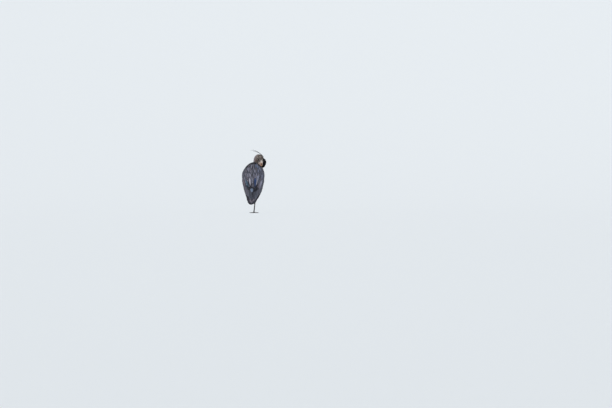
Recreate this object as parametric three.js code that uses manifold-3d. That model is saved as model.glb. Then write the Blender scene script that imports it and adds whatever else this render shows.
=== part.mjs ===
// Grey heron (Ardea cinerea), life size, as a still model. The bird stands upright on its right leg, with
// the left leg drawn up in front of its belly. Its wings are folded over the back, the neck arches to the
// right, and the head hangs bill-down in front of the right shoulder to preen. Two long crest plumes curve
// up over the nape.
//
// Millimetres. +Z is up, +Y the way the bird faces and +X its right. The origin is on the ground, under
// the ball of the standing foot. The trunk and the folded wings are lofted through level slices. The neck,
// legs, toes and plumes are tubes along curves, and the head and bill are lofted along the bill's own
// axis.
import * as THREE from "three";
import { mergeVertices } from "three/addons/utils/BufferGeometryUtils.js";
import Module from "manifold-3d";

const wasm = await Module();
wasm.setup();

const point = (x, y, z) => new THREE.Vector3(x, y, z);
const X = point(1, 0, 0);
const Y = point(0, 1, 0);
const Z = point(0, 0, 1);

// ---- driving dimensions ----
const GAP = 0.3; // clearance between neighbouring pieces
const BODY_X = -8; // the trunk's centre plane, beside the foot that carries it
const TAIL_SHIFT = -12; // how far the tail end swings to the left of that plane
const SHOULDER_SHIFT = 4; // and the shoulders lean to its right, under the head
const TAIL_CUT = 168; // the height where the tail parts from the trunk, at its back edge,
const TAIL_BACK = -90; // which is here
const PRIMARIES_FROM = 122; // the height on the centre plane where the primaries begin
const BILL_BASE = point(76, 123, 460);
const BILL_TIP = point(54, 107, 345);
const HEAD_ROLL = THREE.MathUtils.degToRad(25); // the crown leans out towards the bird's back
const EYE_RADIUS = 7.2;
const EYE_BACK = 30; // eye centre behind the bill base,
const EYE_UP = -1; // above the bill's axis
const EYE_OUT = 13.4; // and out from the head's middle
const NECK_LOW_CUT = 505; // the height where the lower length of the neck ends
const NECK_TOP_CUT = 48; // and how far right the arch runs before its last length
const TOE_LENGTHS = { middle: 86, inner: 66, outer: 72, hind: 46 };
const TOE_ANGLES = { middle: 4, inner: 38, outer: -32, hind: 172 }; // degrees left of straight ahead
const TOE_JOINTS = { inner: 3, middle: 4, outer: 4, hind: 2 };
const CLAW_LENGTHS = { middle: 14, inner: 13, outer: 12, hind: 20 };
const SOLE_RADIUS = 9;
const BALL_TOP = 17; // how high the ball of the foot stands
const NECK_RADII = [54, 50, 44, 37, 33, 32, 30, 28, 27, 24, 21]; // from the shoulders to the nape
const THIGH_RADII = [34, 25, 17, 9.5]; // from the hip down, as are the next two
const SHANK_RADII = [7, 6, 7];
const TARSUS_RADII = [8.4, 6.8, 6.2, 6, 6, 6.2, 6.6];
const HEEL_RADIUS = 9; // the knuckle between those two
const THROAT_HALVES = [23, 20, 38]; // the pouch of the throat, folded inside the neck's arch
const THROAT_CENTRE = [50, 141, 516];
const REACH = 200; // half the length of a cutting prism, well past the body

// Level slices through the body: height, back edge, front edge and half width.
const TRUNK_SLICES = [
  [79, -113, -107, 13],
  [85, -115, -106, 26],
  [96, -115, -104, 33],
  [120, -113, -100, 35],
  [142, -109, -92, 35],
  [156, -106, -80, 37],
  [172, -103, -60, 44],
  [205, -98, -8, 58],
  [230, -93, 24, 67],
  [260, -85, 52, 77],
  [300, -72, 80, 86],
  [340, -55, 101, 93],
  [380, -36, 117, 96],
  [420, -13, 128, 93],
  [450, 9, 132, 81],
  [475, 29, 130, 64],
  [495, 48, 121, 44],
  [506, 63, 108, 25],
  [511, 76, 94, 9],
];
const WING_SLICES = [
  [84, -127, -104, 25],
  [92, -129, -98, 36],
  [105, -130, -92, 43],
  [125, -131, -80, 50],
  [150, -129, -64, 60],
  [175, -126, -46, 70],
  [205, -120, -26, 81],
  [240, -112, -4, 92],
  [285, -99, 34, 103],
  [330, -81, 72, 112],
  [368, -61, 104, 117],
  [405, -38, 128, 114],
  [433, -20, 140, 104],
  [455, -3, 143, 90],
  [478, 17, 140, 71],
  [495, 34, 131, 52],
  [507, 50, 114, 33],
  [515, 66, 96, 11],
];
// The folded wing from the side (Y, Z): the tip, up its lower edge to the bend at the breast, and over the
// shoulder.
const WING_SIDE = [
  [-106, 60],
  [-105, 125],
  [-98, 155],
  [-80, 180],
  [-50, 202],
  [-20, 228],
  [18, 300],
  [54, 370],
  [83, 420],
  [102, 452],
  [102, 478],
  [85, 502],
  [60, 525],
  [-200, 525],
  [-200, 60],
];
// The mantle from behind (X from the centre plane, Z): its point on the lower back, up to both shoulders.
const MANTLE = [
  [0, 282],
  [16, 330],
  [36, 390],
  [60, 450],
  [74, 500],
  [74, 540],
  [-74, 540],
  [-74, 500],
  [-60, 450],
  [-36, 390],
  [-16, 330],
];
const MANTLE_DEPTH = 62; // how far in front of the foot the mantle reaches
// What is missing between the two wing tips, from behind: the right one ends higher.
const TIP_NOTCH = [
  [4, 136],
  [-5, 105],
  [-9, 60],
  [70, 60],
  [46, 88],
  [26, 91],
  [13, 106],
];
// The head along the bill's axis: distance back from the bill base, crown, throat and half width.
const HEAD_SLICES = [
  [-5, 15, 13, 9.5],
  [2, 24, 17, 11.5],
  [10, 33, 21, 14],
  [22, 39, 25, 17.5],
  [34, 41, 27, 20],
  [48, 40, 29, 22],
  [62, 36, 30, 22],
  [76, 26, 27, 19],
  [86, 15, 20, 13],
  [91, 5, 12, 6],
];
// The bill from its root: distance, culmen height, keel depth and half width.
const BILL_SLICES = [
  [0, 12.2, 11.2, 9.2],
  [14, 10.6, 10.2, 7.8],
  [40, 8.4, 8.6, 6],
  [75, 6, 6, 4.2],
  [100, 3.6, 2.6, 2.4],
  [113, 1.4, 0.9, 0.8],
];

// ---- solids ----

// A closed body from three.js geometry, as a manifold-3d solid with its faces pointing out.
function solid(geometry) {
  geometry.deleteAttribute("normal");
  geometry.deleteAttribute("uv");
  const merged = mergeVertices(geometry, 1e-4);
  const vertProperties = new Float32Array(merged.attributes.position.array);
  const make = (triVerts) => new wasm.Manifold(new wasm.Mesh({ numProp: 3, vertProperties, triVerts }));
  const made = make(new Uint32Array(merged.index.array));
  return made.volume() > 0 ? made : make(new Uint32Array(merged.index.array).reverse());
}

// A closed body through rings of points, each end shut with a fan round its centre.
function loft(rings) {
  const around = rings[0].length;
  const middle = (ring) => ring.reduce((sum, p) => sum.add(p), point(0, 0, 0)).divideScalar(around);
  const points = [...rings.flat(), middle(rings[0]), middle(rings.at(-1))];
  const last = (rings.length - 1) * around;
  const index = [];
  for (let i = 0; i < around; i++) {
    const next = (i + 1) % around;
    for (let row = 0; row < last; row += around) {
      index.push(row + i, row + next, row + around + next);
      index.push(row + i, row + around + next, row + around + i);
    }
    index.push(last + around, next, i);
    index.push(last + around + 1, last + i, last + next);
  }
  return solid(new THREE.BufferGeometry().setFromPoints(points).setIndex(index));
}

// The columns of a table of slices as smooth functions of its first column.
function smooth(slices) {
  const keys = slices.map((row) => row[0]);
  const values = slices.flatMap((row) => row.slice(1));
  const curve = new THREE.CubicInterpolant(keys, values, slices[0].length - 1);
  return (key) => Array.from(curve.evaluate(key));
}

// Positions from first to last, closer together at both ends, where a body rounds off.
function roundedSteps(first, last, count) {
  const share = (i) => (1 - Math.cos((Math.PI * i) / count)) / 2;
  return Array.from({ length: count + 1 }, (_, i) => first + (last - first) * share(i));
}

// Points round an oval: half axis up or down along u, and half axis side along v.
function oval(centre, u, v, up, down, side, count) {
  return Array.from({ length: count }, (_, i) => {
    const angle = (2 * Math.PI * (i + 0.5)) / count;
    const along = Math.cos(angle) * (Math.cos(angle) > 0 ? up : down);
    return centre.clone().addScaledVector(u, along).addScaledVector(v, Math.sin(angle) * side);
  });
}

// The body's centre plane swings to the left towards the tail, and a little to the right at the shoulders.
function bodyCentre(z) {
  const tail = TAIL_SHIFT * THREE.MathUtils.smoothstep(205 - z, 0, 110);
  return BODY_X + tail + SHOULDER_SHIFT * THREE.MathUtils.smoothstep(z, 400, 455);
}

// A body lofted through level slices, grown outwards by grow.
function bodyLoft(slices, steps, count, grow) {
  const table = smooth(slices);
  const [low, high] = [slices[0][0], slices.at(-1)[0]];
  const rings = roundedSteps(low, high, steps).map((z, i) => {
    const [back, front, half] = table(z);
    const lift = i === 0 ? -grow : i === steps ? grow : 0;
    const centre = point(bodyCentre(z), (back + front) / 2, z + lift);
    const depth = (front - back) / 2 + grow;
    return oval(centre, Y, X, depth, depth, half + grow, count);
  });
  return loft(rings);
}

// A tube along a curve. radius(t) gives its radius, or the half axes along and across side.
function tube(curve, radius, { steps = 10, sides = 12, grow = 0, side = Y, floor = -Infinity } = {}) {
  const rings = Array.from({ length: steps + 1 }, (_, i) => {
    const t = i / steps;
    const along = curve.getTangentAt(t);
    const u = side.clone().addScaledVector(along, -side.dot(along)).normalize();
    const v = point(0, 0, 0).crossVectors(along, u);
    const [ru, rv] = [radius(t), radius(t)].flat();
    const lengthen = i === 0 ? -grow : i === steps ? grow : 0;
    const centre = curve.getPointAt(t).addScaledVector(along, lengthen);
    const points = oval(centre, u, v, ru + grow, ru + grow, (rv ?? ru) + grow, sides);
    points.forEach((p) => (p.z = Math.max(p.z, floor)));
    return points;
  });
  return loft(rings);
}

const through = (...points) => new THREE.CatmullRomCurve3(points, false, "centripetal");

// A radius that runs smoothly through evenly spaced values.
function profile(...values) {
  const table = smooth(values.map((value, i) => [i / (values.length - 1), value]));
  return (t) => table(t)[0];
}

// A flat outline drawn out into a prism: its axes and the direction of drawing, as world directions.
function prism(outline, a, b, along, from, to) {
  const shape = new THREE.Shape(outline.map(([x, y]) => new THREE.Vector2(x, y)));
  const geometry = new THREE.ExtrudeGeometry(shape, { depth: to - from, bevelEnabled: false });
  geometry.translate(0, 0, from);
  geometry.applyMatrix4(new THREE.Matrix4().makeBasis(a, b, along));
  return solid(geometry);
}

// What is left of a solid after taking others away, without any crumbs that fall off it.
function cut(whole, ...others) {
  const rest = others.reduce((left, other) => left.subtract(other), whole);
  return rest.decompose().reduce((best, piece) => (piece.volume() > best.volume() ? piece : best));
}

// The two sides of a plane, each GAP / 2 clear of it: first the side that normal points to.
function part(whole, normal, offset) {
  const n = normal.clone().normalize();
  const kept = whole.trimByPlane(n.toArray(), offset + GAP / 2);
  const rest = whole.trimByPlane(n.clone().negate().toArray(), -offset + GAP / 2);
  return [kept, rest];
}

const model = new THREE.Group();

function add(name, body, color, roughness = 0.8) {
  const mesh = body.getMesh();
  const geometry = new THREE.BufferGeometry();
  const positions = [];
  for (let i = 0; i < mesh.vertProperties.length; i += mesh.numProp) {
    positions.push(...mesh.vertProperties.slice(i, i + 3));
  }
  geometry.setAttribute("position", new THREE.Float32BufferAttribute(positions, 3));
  geometry.setIndex(Array.from(mesh.triVerts));
  geometry.computeVertexNormals();
  const material = new THREE.MeshStandardMaterial({ color, roughness, metalness: 0 });
  const node = new THREE.Mesh(geometry, material);
  node.name = name;
  model.add(node);
}

// ---- colours ----
const SLATE = 0x676c78;
const DARK_SLATE = 0x2c2f38;
const NECK_GREY = 0x98938f;
const WHITE = 0xe4e0dc;
const BLACK = 0x15161c;
const HORN_YELLOW = 0xc9a552;
const LEG_BROWN = 0x5e5444;
const EYE_YELLOW = 0xd9a62b;

// ---- trunk, tail and wings ----

const core = (grow) => bodyLoft(TRUNK_SLICES, 16, 22, grow);
const envelope = bodyLoft(WING_SLICES, 15, 24, 0);
const mantleOutline = MANTLE.map(([x, z]) => [x + BODY_X, z]);
const mantle = (grow) => {
  const grown = grow > 0 ? bodyLoft(WING_SLICES, 15, 24, grow) : envelope;
  const widened = mantleOutline.map(([x, z]) => [x + Math.sign(x - BODY_X) * grow, z - grow]);
  return grown.intersect(prism(widened, X, Z, Y.clone().negate(), -MANTLE_DEPTH - grow, REACH));
};
const trunkAndTail = (grow) => core(grow).add(mantle(grow));
const body = trunkAndTail(0);
const bodyGrown = trunkAndTail(GAP);
const tailPlane = point(0, 0.35, 1).normalize();
const [trunk, tail] = part(body, tailPlane, tailPlane.dot(point(0, TAIL_BACK, TAIL_CUT)));
add("trunk", cut(trunk), SLATE);
add("tail", cut(tail), SLATE);

const wingSide = prism(WING_SIDE, Y, Z, X, -REACH, REACH);
const notchOutline = TIP_NOTCH.map(([x, z]) => [x + BODY_X + TAIL_SHIFT, z]);
const notch = prism(notchOutline, X, Z, Y.clone().negate(), 0, REACH);
const wings = envelope.intersect(wingSide).subtract(bodyGrown).subtract(notch);
const [rightWing, leftWing] = part(wings, X, BODY_X);
for (const [name, wing, side] of [["right", rightWing, 1], ["left", leftWing, -1]]) {
  const across = point(-0.88 * side, 0, 0.47).normalize();
  const [upper, lower] = part(wing, across, across.dot(point(BODY_X, 0, PRIMARIES_FROM)));
  add(`wing_${name}`, cut(upper), SLATE);
  add(`primaries_${name}`, cut(lower), DARK_SLATE);
}

// ---- head and bill ----

const forward = BILL_TIP.clone().sub(BILL_BASE).normalize(); // the way the bill points
const rolled = point(Math.cos(HEAD_ROLL), -Math.sin(HEAD_ROLL), 0);
const crown = rolled.addScaledVector(forward, -rolled.dot(forward)).normalize();
const headRight = point(0, 0, 0).crossVectors(forward, crown);
const onHead = (back, up, right) =>
  BILL_BASE.clone()
    .addScaledVector(forward, -back)
    .addScaledVector(crown, up)
    .addScaledVector(headRight, right);

function headLoft(grow) {
  const table = smooth(HEAD_SLICES);
  const [first, last] = [HEAD_SLICES[0][0], HEAD_SLICES.at(-1)[0]];
  const steps = 11;
  const rings = roundedSteps(first, last, steps).map((back, i) => {
    const [up, down, half] = table(back);
    const lengthen = i === 0 ? -grow : i === steps ? grow : 0;
    const centre = onHead(back + lengthen, 0, 0);
    return oval(centre, crown, headRight, up + grow, down + grow, half + grow, 16);
  });
  return loft(rings);
}

const headGrown = headLoft(GAP);
const eyeball = (side, grow) => {
  const ball = new THREE.SphereGeometry(EYE_RADIUS + grow, 12, 7);
  const centre = onHead(EYE_BACK, EYE_UP, side * EYE_OUT);
  return solid(ball.translate(...centre.toArray()));
};
add("head", cut(headLoft(0), eyeball(1, GAP), eyeball(-1, GAP)), WHITE);
add("eye_right", eyeball(1, 0), EYE_YELLOW, 0.1);
add("eye_left", eyeball(-1, 0), EYE_YELLOW, 0.1);

// One half of the bill: a D-shaped section that is flat along the gape.
function mandible(upper) {
  const table = smooth(BILL_SLICES);
  const root = -HEAD_SLICES[0][0] + GAP;
  const sides = 8;
  const rings = roundedSteps(0, BILL_SLICES.at(-1)[0], 7).map((reach) => {
    const [culmen, keel, half] = table(reach);
    const height = upper ? culmen : -keel;
    const gape = (upper ? GAP : -GAP) / 2;
    return Array.from({ length: sides + 1 }, (_, i) => {
      const angle = (Math.PI * i) / sides;
      return onHead(-root - reach, gape + height * Math.sin(angle), half * Math.cos(angle));
    });
  });
  return loft(rings);
}
add("bill_upper", mandible(true), HORN_YELLOW, 0.45);
add("bill_lower", mandible(false), HORN_YELLOW, 0.45);

// ---- neck ----

const neckCurve = through(
  point(-6, 70, 424),
  point(-3, 108, 434),
  point(6, 141, 455),
  point(16, 152, 484),
  point(20, 149, 511),
  point(21, 144, 535),
  point(27, 139, 556),
  point(41, 137, 567),
  point(57, 136, 565),
  point(73, 135, 553),
  point(86, 134, 530),
);
const neckRadius = profile(...NECK_RADII);
const neckShape = { steps: 17, sides: 14, side: point(-1, 1, 0) };
const throat = new THREE.SphereGeometry(1, 12, 6).scale(...THROAT_HALVES).translate(...THROAT_CENTRE);
const neckWhole = tube(neckCurve, neckRadius, neckShape).add(solid(throat));
const neckGrown = tube(neckCurve, neckRadius, { ...neckShape, grow: GAP });
const [neckAbove, neckLow] = part(neckWhole, Z, NECK_LOW_CUT);
const [neckTop, neckMiddle] = part(neckAbove, X, NECK_TOP_CUT);
add("neck_lower", cut(neckLow, bodyGrown, headGrown), NECK_GREY);
add("neck_middle", cut(neckMiddle, headGrown), NECK_GREY);
add("neck_upper", cut(neckTop, headGrown), NECK_GREY);

// Long plumes that hang from the foot of the neck over the breast.
const breastCurve = through(
  point(6, 148, 478),
  point(4, 164, 450),
  point(0, 152, 412),
  point(-4, 129, 365),
  point(-7, 102, 318),
);
const breastRadius = (t) => [15 - 12 * t, 36 - 32 * t ** 1.5];
const breastPlumes = tube(breastCurve, breastRadius, { steps: 8, sides: 12, side: Y });
add("breast_plumes", cut(breastPlumes, neckGrown, bodyGrown), WHITE);

// Two crest plumes from the back of the crown, up along the nape and out over the back.
const crestPaths = {
  crest_plume_right: [
    point(98, 124, 554),
    point(84, 113, 578),
    point(65, 109, 593),
    point(42, 113, 609),
    point(9, 118, 627),
    point(-37, 122, 631),
  ],
  crest_plume_left: [
    point(93, 118, 557),
    point(79, 107, 577),
    point(60, 103, 594),
    point(38, 107, 608),
    point(12, 111, 616),
    point(-14, 113, 618),
  ],
};
for (const [name, path] of Object.entries(crestPaths)) {
  const curve = through(...path);
  const plume = tube(curve, (t) => [2.6 - 1.9 * t, 1.1 - 0.6 * t], { steps: 10, sides: 6, side: Y });
  add(name, cut(plume, neckGrown, headGrown), BLACK);
}

// ---- legs ----

// The ball of the foot: a low knuckle with a flat sole, in the foot's own frame.
function footBall(place, grow) {
  const levels = [[0 - grow, SOLE_RADIUS], [5, SOLE_RADIUS + 1], [11, 8], [BALL_TOP + grow, 6.2]];
  const rings = levels.map(([z, r]) => oval(point(0, 0, z), Y, X, r + grow, r + grow, r + grow, 12));
  return loft(rings.map((ring) => ring.map((p) => p.applyMatrix4(place))));
}

// A toe's middle line in the foot's own frame. yaw turns it from straight ahead, pitch tips it towards the
// sole, and curl bends it further that way along its length.
function toeLine(from, to, { yaw, pitch = 0, curl = 0 }, height) {
  const flat = point(-Math.sin(yaw), Math.cos(yaw), 0);
  const count = 8;
  const points = [point(0, 0, 0)];
  for (let i = 0; i < count; i++) {
    const angle = pitch + (curl * (i + 0.5)) / count;
    const step = flat.clone().multiplyScalar(Math.cos(angle)).addScaledVector(Z, -Math.sin(angle));
    points.push(points.at(-1).clone().addScaledVector(step, to / count));
  }
  const line = through(...points);
  const share = (t) => (from + (to - from) * t) / to;
  const shares = Array.from({ length: 7 }, (_, i) => share(i / 6));
  return shares.map((s) => line.getPointAt(s).addScaledVector(Z, height(s)));
}

// A toe swells at each joint and tapers to its claw.
const toeRadius = (joints) => (t) => 5 - 1.5 * t + 0.35 * Math.cos(2 * Math.PI * joints * t);
function addFoot(name, place, bends, floor) {
  const ball = footBall(place, 0);
  const taken = [footBall(place, GAP)];
  add(`foot_${name}`, ball, LEG_BROWN);
  for (const toe of Object.keys(TOE_LENGTHS)) {
    const [length, claw] = [TOE_LENGTHS[toe], CLAW_LENGTHS[toe]];
    const radius = toeRadius(TOE_JOINTS[toe]);
    const raised = (share) => 0.78 * radius(Math.min(share, 1));
    const line = toeLine(0, length, bends[toe], raised).map((p) => p.applyMatrix4(place));
    const toeShape = { steps: 8, sides: 8, side: place.up, floor };
    const toeTube = (grow) => tube(through(...line), radius, { ...toeShape, grow });
    add(`toe_${toe}_${name}`, cut(toeTube(0), ...taken), LEG_BROWN);
    taken.push(toeTube(GAP));
    const bent = { ...bends[toe], curl: (bends[toe].curl ?? 0) * (1 + claw / length) };
    const alongClaw = (share) => share * (1 + length / claw) - length / claw;
    const arch = (share) => raised(1) + 1.6 * Math.sin(Math.PI * alongClaw(share));
    const clawLine = toeLine(length + GAP, length + claw, bent, arch).map((p) => p.applyMatrix4(place));
    const clawShape = { steps: 3, sides: 6, side: place.up, floor };
    const clawHorn = tube(through(...clawLine), (t) => 2.9 - 2.3 * t, clawShape);
    add(`claw_${toe}_${name}`, cut(clawHorn, ...taken), BLACK, 0.4);
  }
}

function addLeg(name, path, heel, foot, place) {
  const [hip, fold, knob] = path;
  const thighCurve = through(...hip, fold);
  const thigh = (grow) => tube(thighCurve, profile(...THIGH_RADII), { steps: 4, sides: 12, side: X, grow });
  const shankCurve = through(fold, knob);
  const shank = (grow) => tube(shankCurve, profile(...SHANK_RADII), { steps: 3, sides: 8, side: X, grow });
  const tarsusCurve = through(...heel, foot);
  const heelJoint = new THREE.SphereGeometry(HEEL_RADIUS, 8, 6).translate(...heel[0].toArray());
  const tarsusShape = { steps: 7, sides: 8, side: X };
  const tarsus = tube(tarsusCurve, profile(...TARSUS_RADII), tarsusShape).add(solid(heelJoint));
  add(`thigh_${name}`, cut(thigh(0), bodyGrown), SLATE);
  add(`shank_${name}`, cut(shank(0), thigh(GAP), bodyGrown), LEG_BROWN);
  add(`tarsus_${name}`, cut(tarsus, shank(GAP), footBall(place, GAP)), LEG_BROWN);
}

const degrees = THREE.MathUtils.degToRad;
const standing = new THREE.Matrix4();
standing.up = Z;
const spread = Object.entries(TOE_ANGLES).map(([toe, angle]) => [toe, { yaw: degrees(angle) }]);
const flatBends = Object.fromEntries(spread);
addLeg(
  "right",
  [[point(36, 12, 300), point(27, 6, 236)], point(18, -4, 190), point(12, -14, 154)],
  [point(12, -14, 153), point(10, -11, 115), point(7, -7, 75), point(3, -3, 40)],
  point(0, 0, BALL_TOP + GAP),
  standing,
);
addFoot("right", standing, flatBends, 0);

// The drawn-up foot hangs half closed in front of the belly, its toes drooping.
const heel = point(-38, -45, 159);
const sole = point(-24, 84, 228);
const shin = heel.clone().sub(sole).normalize();
const instep = point(0, 0, 0).crossVectors(shin, X).normalize();
const tucked = new THREE.Matrix4().makeBasis(point(0, 0, 0).crossVectors(instep, shin), instep, shin);
tucked.setPosition(sole);
tucked.up = shin;
const closedBends = {
  middle: { yaw: degrees(2), pitch: 2.75, curl: 0.8 },
  inner: { yaw: degrees(22), pitch: 2.7, curl: 0.7 },
  outer: { yaw: degrees(-20), pitch: 2.8, curl: 0.9 },
  hind: { yaw: degrees(172), pitch: -0.9, curl: 0.5 },
};
addLeg(
  "left",
  [[point(-46, 14, 300), point(-44, 6, 240)], point(-41, -12, 200), point(-38, -44, 160)],
  [heel, point(-35, -20, 173), point(-31, 15, 191), point(-27, 50, 210)],
  sole.clone().addScaledVector(shin, BALL_TOP + GAP),
  tucked,
);
addFoot("left", tucked, closedBends, -Infinity);

export default model;
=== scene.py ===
import itertools
import math

import bpy
import numpy as np
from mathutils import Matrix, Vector
from mathutils.bvhtree import BVHTree


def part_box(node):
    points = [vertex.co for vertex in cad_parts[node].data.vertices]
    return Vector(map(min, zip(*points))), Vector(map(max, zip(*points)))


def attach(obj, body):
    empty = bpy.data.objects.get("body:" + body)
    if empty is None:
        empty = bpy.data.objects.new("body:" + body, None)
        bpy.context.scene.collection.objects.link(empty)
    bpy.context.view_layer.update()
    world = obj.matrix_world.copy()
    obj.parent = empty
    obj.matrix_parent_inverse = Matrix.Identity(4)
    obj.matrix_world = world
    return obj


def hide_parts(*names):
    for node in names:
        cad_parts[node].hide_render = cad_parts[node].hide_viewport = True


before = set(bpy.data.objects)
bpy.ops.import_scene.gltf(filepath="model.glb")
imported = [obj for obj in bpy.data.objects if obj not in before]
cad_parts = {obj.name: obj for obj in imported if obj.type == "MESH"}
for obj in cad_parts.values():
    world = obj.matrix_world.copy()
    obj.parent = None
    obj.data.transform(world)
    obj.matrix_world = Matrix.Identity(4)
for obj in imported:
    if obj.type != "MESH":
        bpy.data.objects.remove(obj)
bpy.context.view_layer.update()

MM = 0.001
SIDES = {"left": -1, "right": 1}
TOES = ("middle", "inner", "outer", "hind")
chance = np.random.default_rng(20)

# ---- numbers and vectors ----


def unit(v):
    """Vectors made one long."""
    v = np.asarray(v, float)
    return v / np.maximum(np.linalg.norm(v, axis=-1, keepdims=True), 1e-12)


def dot(a, b):
    """The dot product of each pair of vectors."""
    return (a * b).sum(-1)


def ease(edge0, edge1, x):
    """0 at edge0, 1 at edge1 and smooth between them."""
    t = np.clip((np.asarray(x, float) - edge0) / (edge1 - edge0), 0, 1)
    return t * t * (3 - 2 * t)


def hill(centre, reach, x):
    """1 at centre, falling smoothly to 0 at reach on either side."""
    return ease(reach, 0, np.abs(np.asarray(x, float) - centre))


def blend(a, b, t):
    """a where t is 0, b where t is 1, and a mix between."""
    t = np.asarray(t, float)[..., None]
    return np.asarray(a) * (1 - t) + np.asarray(b) * t


def ripple(points, size):
    """A cheap smooth noise in -1..1 that changes over about size."""
    x, y, z = (np.asarray(points) / size).T
    waves = (2.1 * x + 1.3 * y + 4, 1.7 * y - 2.3 * z + 1, 1.9 * z + 2.2 * x + 1.1 * y)
    return sum(np.sin(wave) for wave in waves) / 3


def spread(count, amount):
    """Random factors round 1."""
    return 1 + amount * (2 * chance.random(count) - 1)


def starts(names, *beginnings):
    """Which names start with one of these."""
    return np.any([np.char.startswith(names, beginning) for beginning in beginnings], axis=0)


# ---- surfaces ----


class Surface:
    """A closed mesh as arrays, with smoothing over its edges and a search for the nearest place on it."""

    def __init__(self, co, faces):
        self.co, self.faces = np.asarray(co, float), np.asarray(faces)
        ring = np.roll(self.faces, -1, axis=1)
        pairs = np.sort(np.stack([self.faces.ravel(), ring.ravel()], 1), axis=1)
        keys = np.unique(pairs[:, 0].astype(np.int64) * len(self.co) + pairs[:, 1])
        self.edges = np.stack([keys // len(self.co), keys % len(self.co)])
        self.degree = np.maximum(np.bincount(self.edges.ravel(), minlength=len(self.co)), 1)
        self.tree = None
        self.frame = None

    def smooth(self, values, rounds):
        """Values at the corners, each drawn halfway to the mean of its neighbours, several times over."""
        a, b = self.edges
        count = len(self.co)
        values = np.array(values, float).reshape(count, -1)
        for _ in range(rounds):
            for column in values.T:
                total = np.bincount(a, column[b], count) + np.bincount(b, column[a], count)
                column += 0.5 * (total / self.degree - column)
        return values

    def normals(self):
        """The normal at each corner, from the triangles or quads around it."""
        p = self.co[self.faces]
        quads = self.faces.shape[1] == 4
        along = p[:, 2] - p[:, 0] if quads else p[:, 1] - p[:, 0]
        across = p[:, 3] - p[:, 1] if quads else p[:, 2] - p[:, 1]
        flat = np.cross(along, across)
        total = np.zeros_like(self.co)
        for corner in self.faces.T:
            for axis in range(3):
                total[:, axis] += np.bincount(corner, flat[:, axis], len(self.co))
        return unit(total)

    def lay(self, flow, rounds):
        """Keeps the lie of the coat at each corner, smoothed and flat, beside the normal there."""
        normal = unit(self.smooth(self.normals(), 3))
        flow = unit(flow - normal * dot(flow, normal)[:, None])
        flow = self.smooth(flow, rounds)
        flow = unit(flow - normal * dot(flow, normal)[:, None])
        self.frame = np.concatenate([normal, flow], 1)

    def search(self):
        """The tree of faces to search, made when it's first needed."""
        if self.tree is None:
            self.tree = BVHTree.FromPolygons(self.co.tolist(), self.faces.tolist())
        return self.tree

    def nearest(self, points):
        """For each point: the nearest place on the surface and the face it is on."""
        find = self.search().find_nearest
        hits = [find(p) for p in points.tolist()]
        return np.array([h[0][:] for h in hits]), np.array([h[2] for h in hits])

    def ray(self, origins, directions):
        """Where rays meet the surface for the last time on their way out. A ray that misses gives nan."""
        cast = self.search().ray_cast
        rays = zip((origins + directions).tolist(), (-directions).tolist())
        hits = [cast(Vector(start), Vector(way)) for start, way in rays]
        return np.array([h[0][:] if h[0] is not None else (np.nan,) * 3 for h in hits])

    def read(self, values, places, faces):
        """Values held at the corners, read at places on given faces."""
        corners = self.faces[faces]
        weight = 1 / (np.linalg.norm(self.co[corners] - places[:, None], axis=-1) + 1e-5)
        return (values[corners] * (weight / weight.sum(1, keepdims=True))[..., None]).sum(1)

    def largest(self):
        """Only the biggest connected piece."""
        label = np.arange(len(self.co))
        a, b = self.edges
        while True:
            low = np.minimum(label[a], label[b])
            new = label.copy()
            np.minimum.at(new, a, low)
            np.minimum.at(new, b, low)
            new = new[new]
            if (new == label).all():
                break
            label = new
        main = np.bincount(label).argmax()
        keep = label == main
        number = np.cumsum(keep) - 1
        return Surface(self.co[keep], number[self.faces[keep[self.faces[:, 0]]]])


def node_arrays(names, grow=0.0):
    """The triangles of some CAD nodes as one pair of arrays, each node grown a little."""
    verts, tris, owner, start = [], [], [], 0
    for number, name in enumerate(names):
        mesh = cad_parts[name].data
        mesh.calc_loop_triangles()
        co = np.empty(len(mesh.vertices) * 3)
        mesh.vertices.foreach_get("co", co)
        tri = np.empty(len(mesh.loop_triangles) * 3, int)
        mesh.loop_triangles.foreach_get("vertices", tri)
        co, place = np.unique(co.reshape(-1, 3).round(6), axis=0, return_inverse=True)
        tri = place.reshape(-1)[tri].reshape(-1, 3)
        piece = Surface(co, tri)
        verts.append(co + piece.normals() * grow)
        tris.append(tri + start)
        owner.append(np.full(len(tri), number))
        start += len(co)
    return np.concatenate(verts), np.concatenate(tris), np.concatenate(owner)


def object_from(name, co, faces, sharp=None):
    """A smooth-shaded mesh object from arrays. sharp tells for pairs of points which edges stay crisp."""
    mesh = bpy.data.meshes.new(name)
    mesh.vertices.add(len(co))
    mesh.vertices.foreach_set("co", np.asarray(co, np.float32).ravel())
    faces = np.asarray(faces)
    mesh.loops.add(faces.size)
    mesh.loops.foreach_set("vertex_index", faces.ravel())
    mesh.polygons.add(len(faces))
    mesh.polygons.foreach_set("loop_start", np.arange(0, faces.size, faces.shape[1]))
    mesh.update(calc_edges=True)
    mesh.polygons.foreach_set("use_smooth", np.ones(len(faces), bool))
    if sharp is not None:
        ends = np.empty(len(mesh.edges) * 2, int)
        mesh.edges.foreach_get("vertices", ends)
        crisp = mesh.attributes.new("sharp_edge", "BOOLEAN", "EDGE")
        crisp.data.foreach_set("value", sharp(*ends.reshape(-1, 2).T))
    obj = bpy.data.objects.new(name, mesh)
    bpy.context.scene.collection.objects.link(obj)
    return obj


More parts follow.
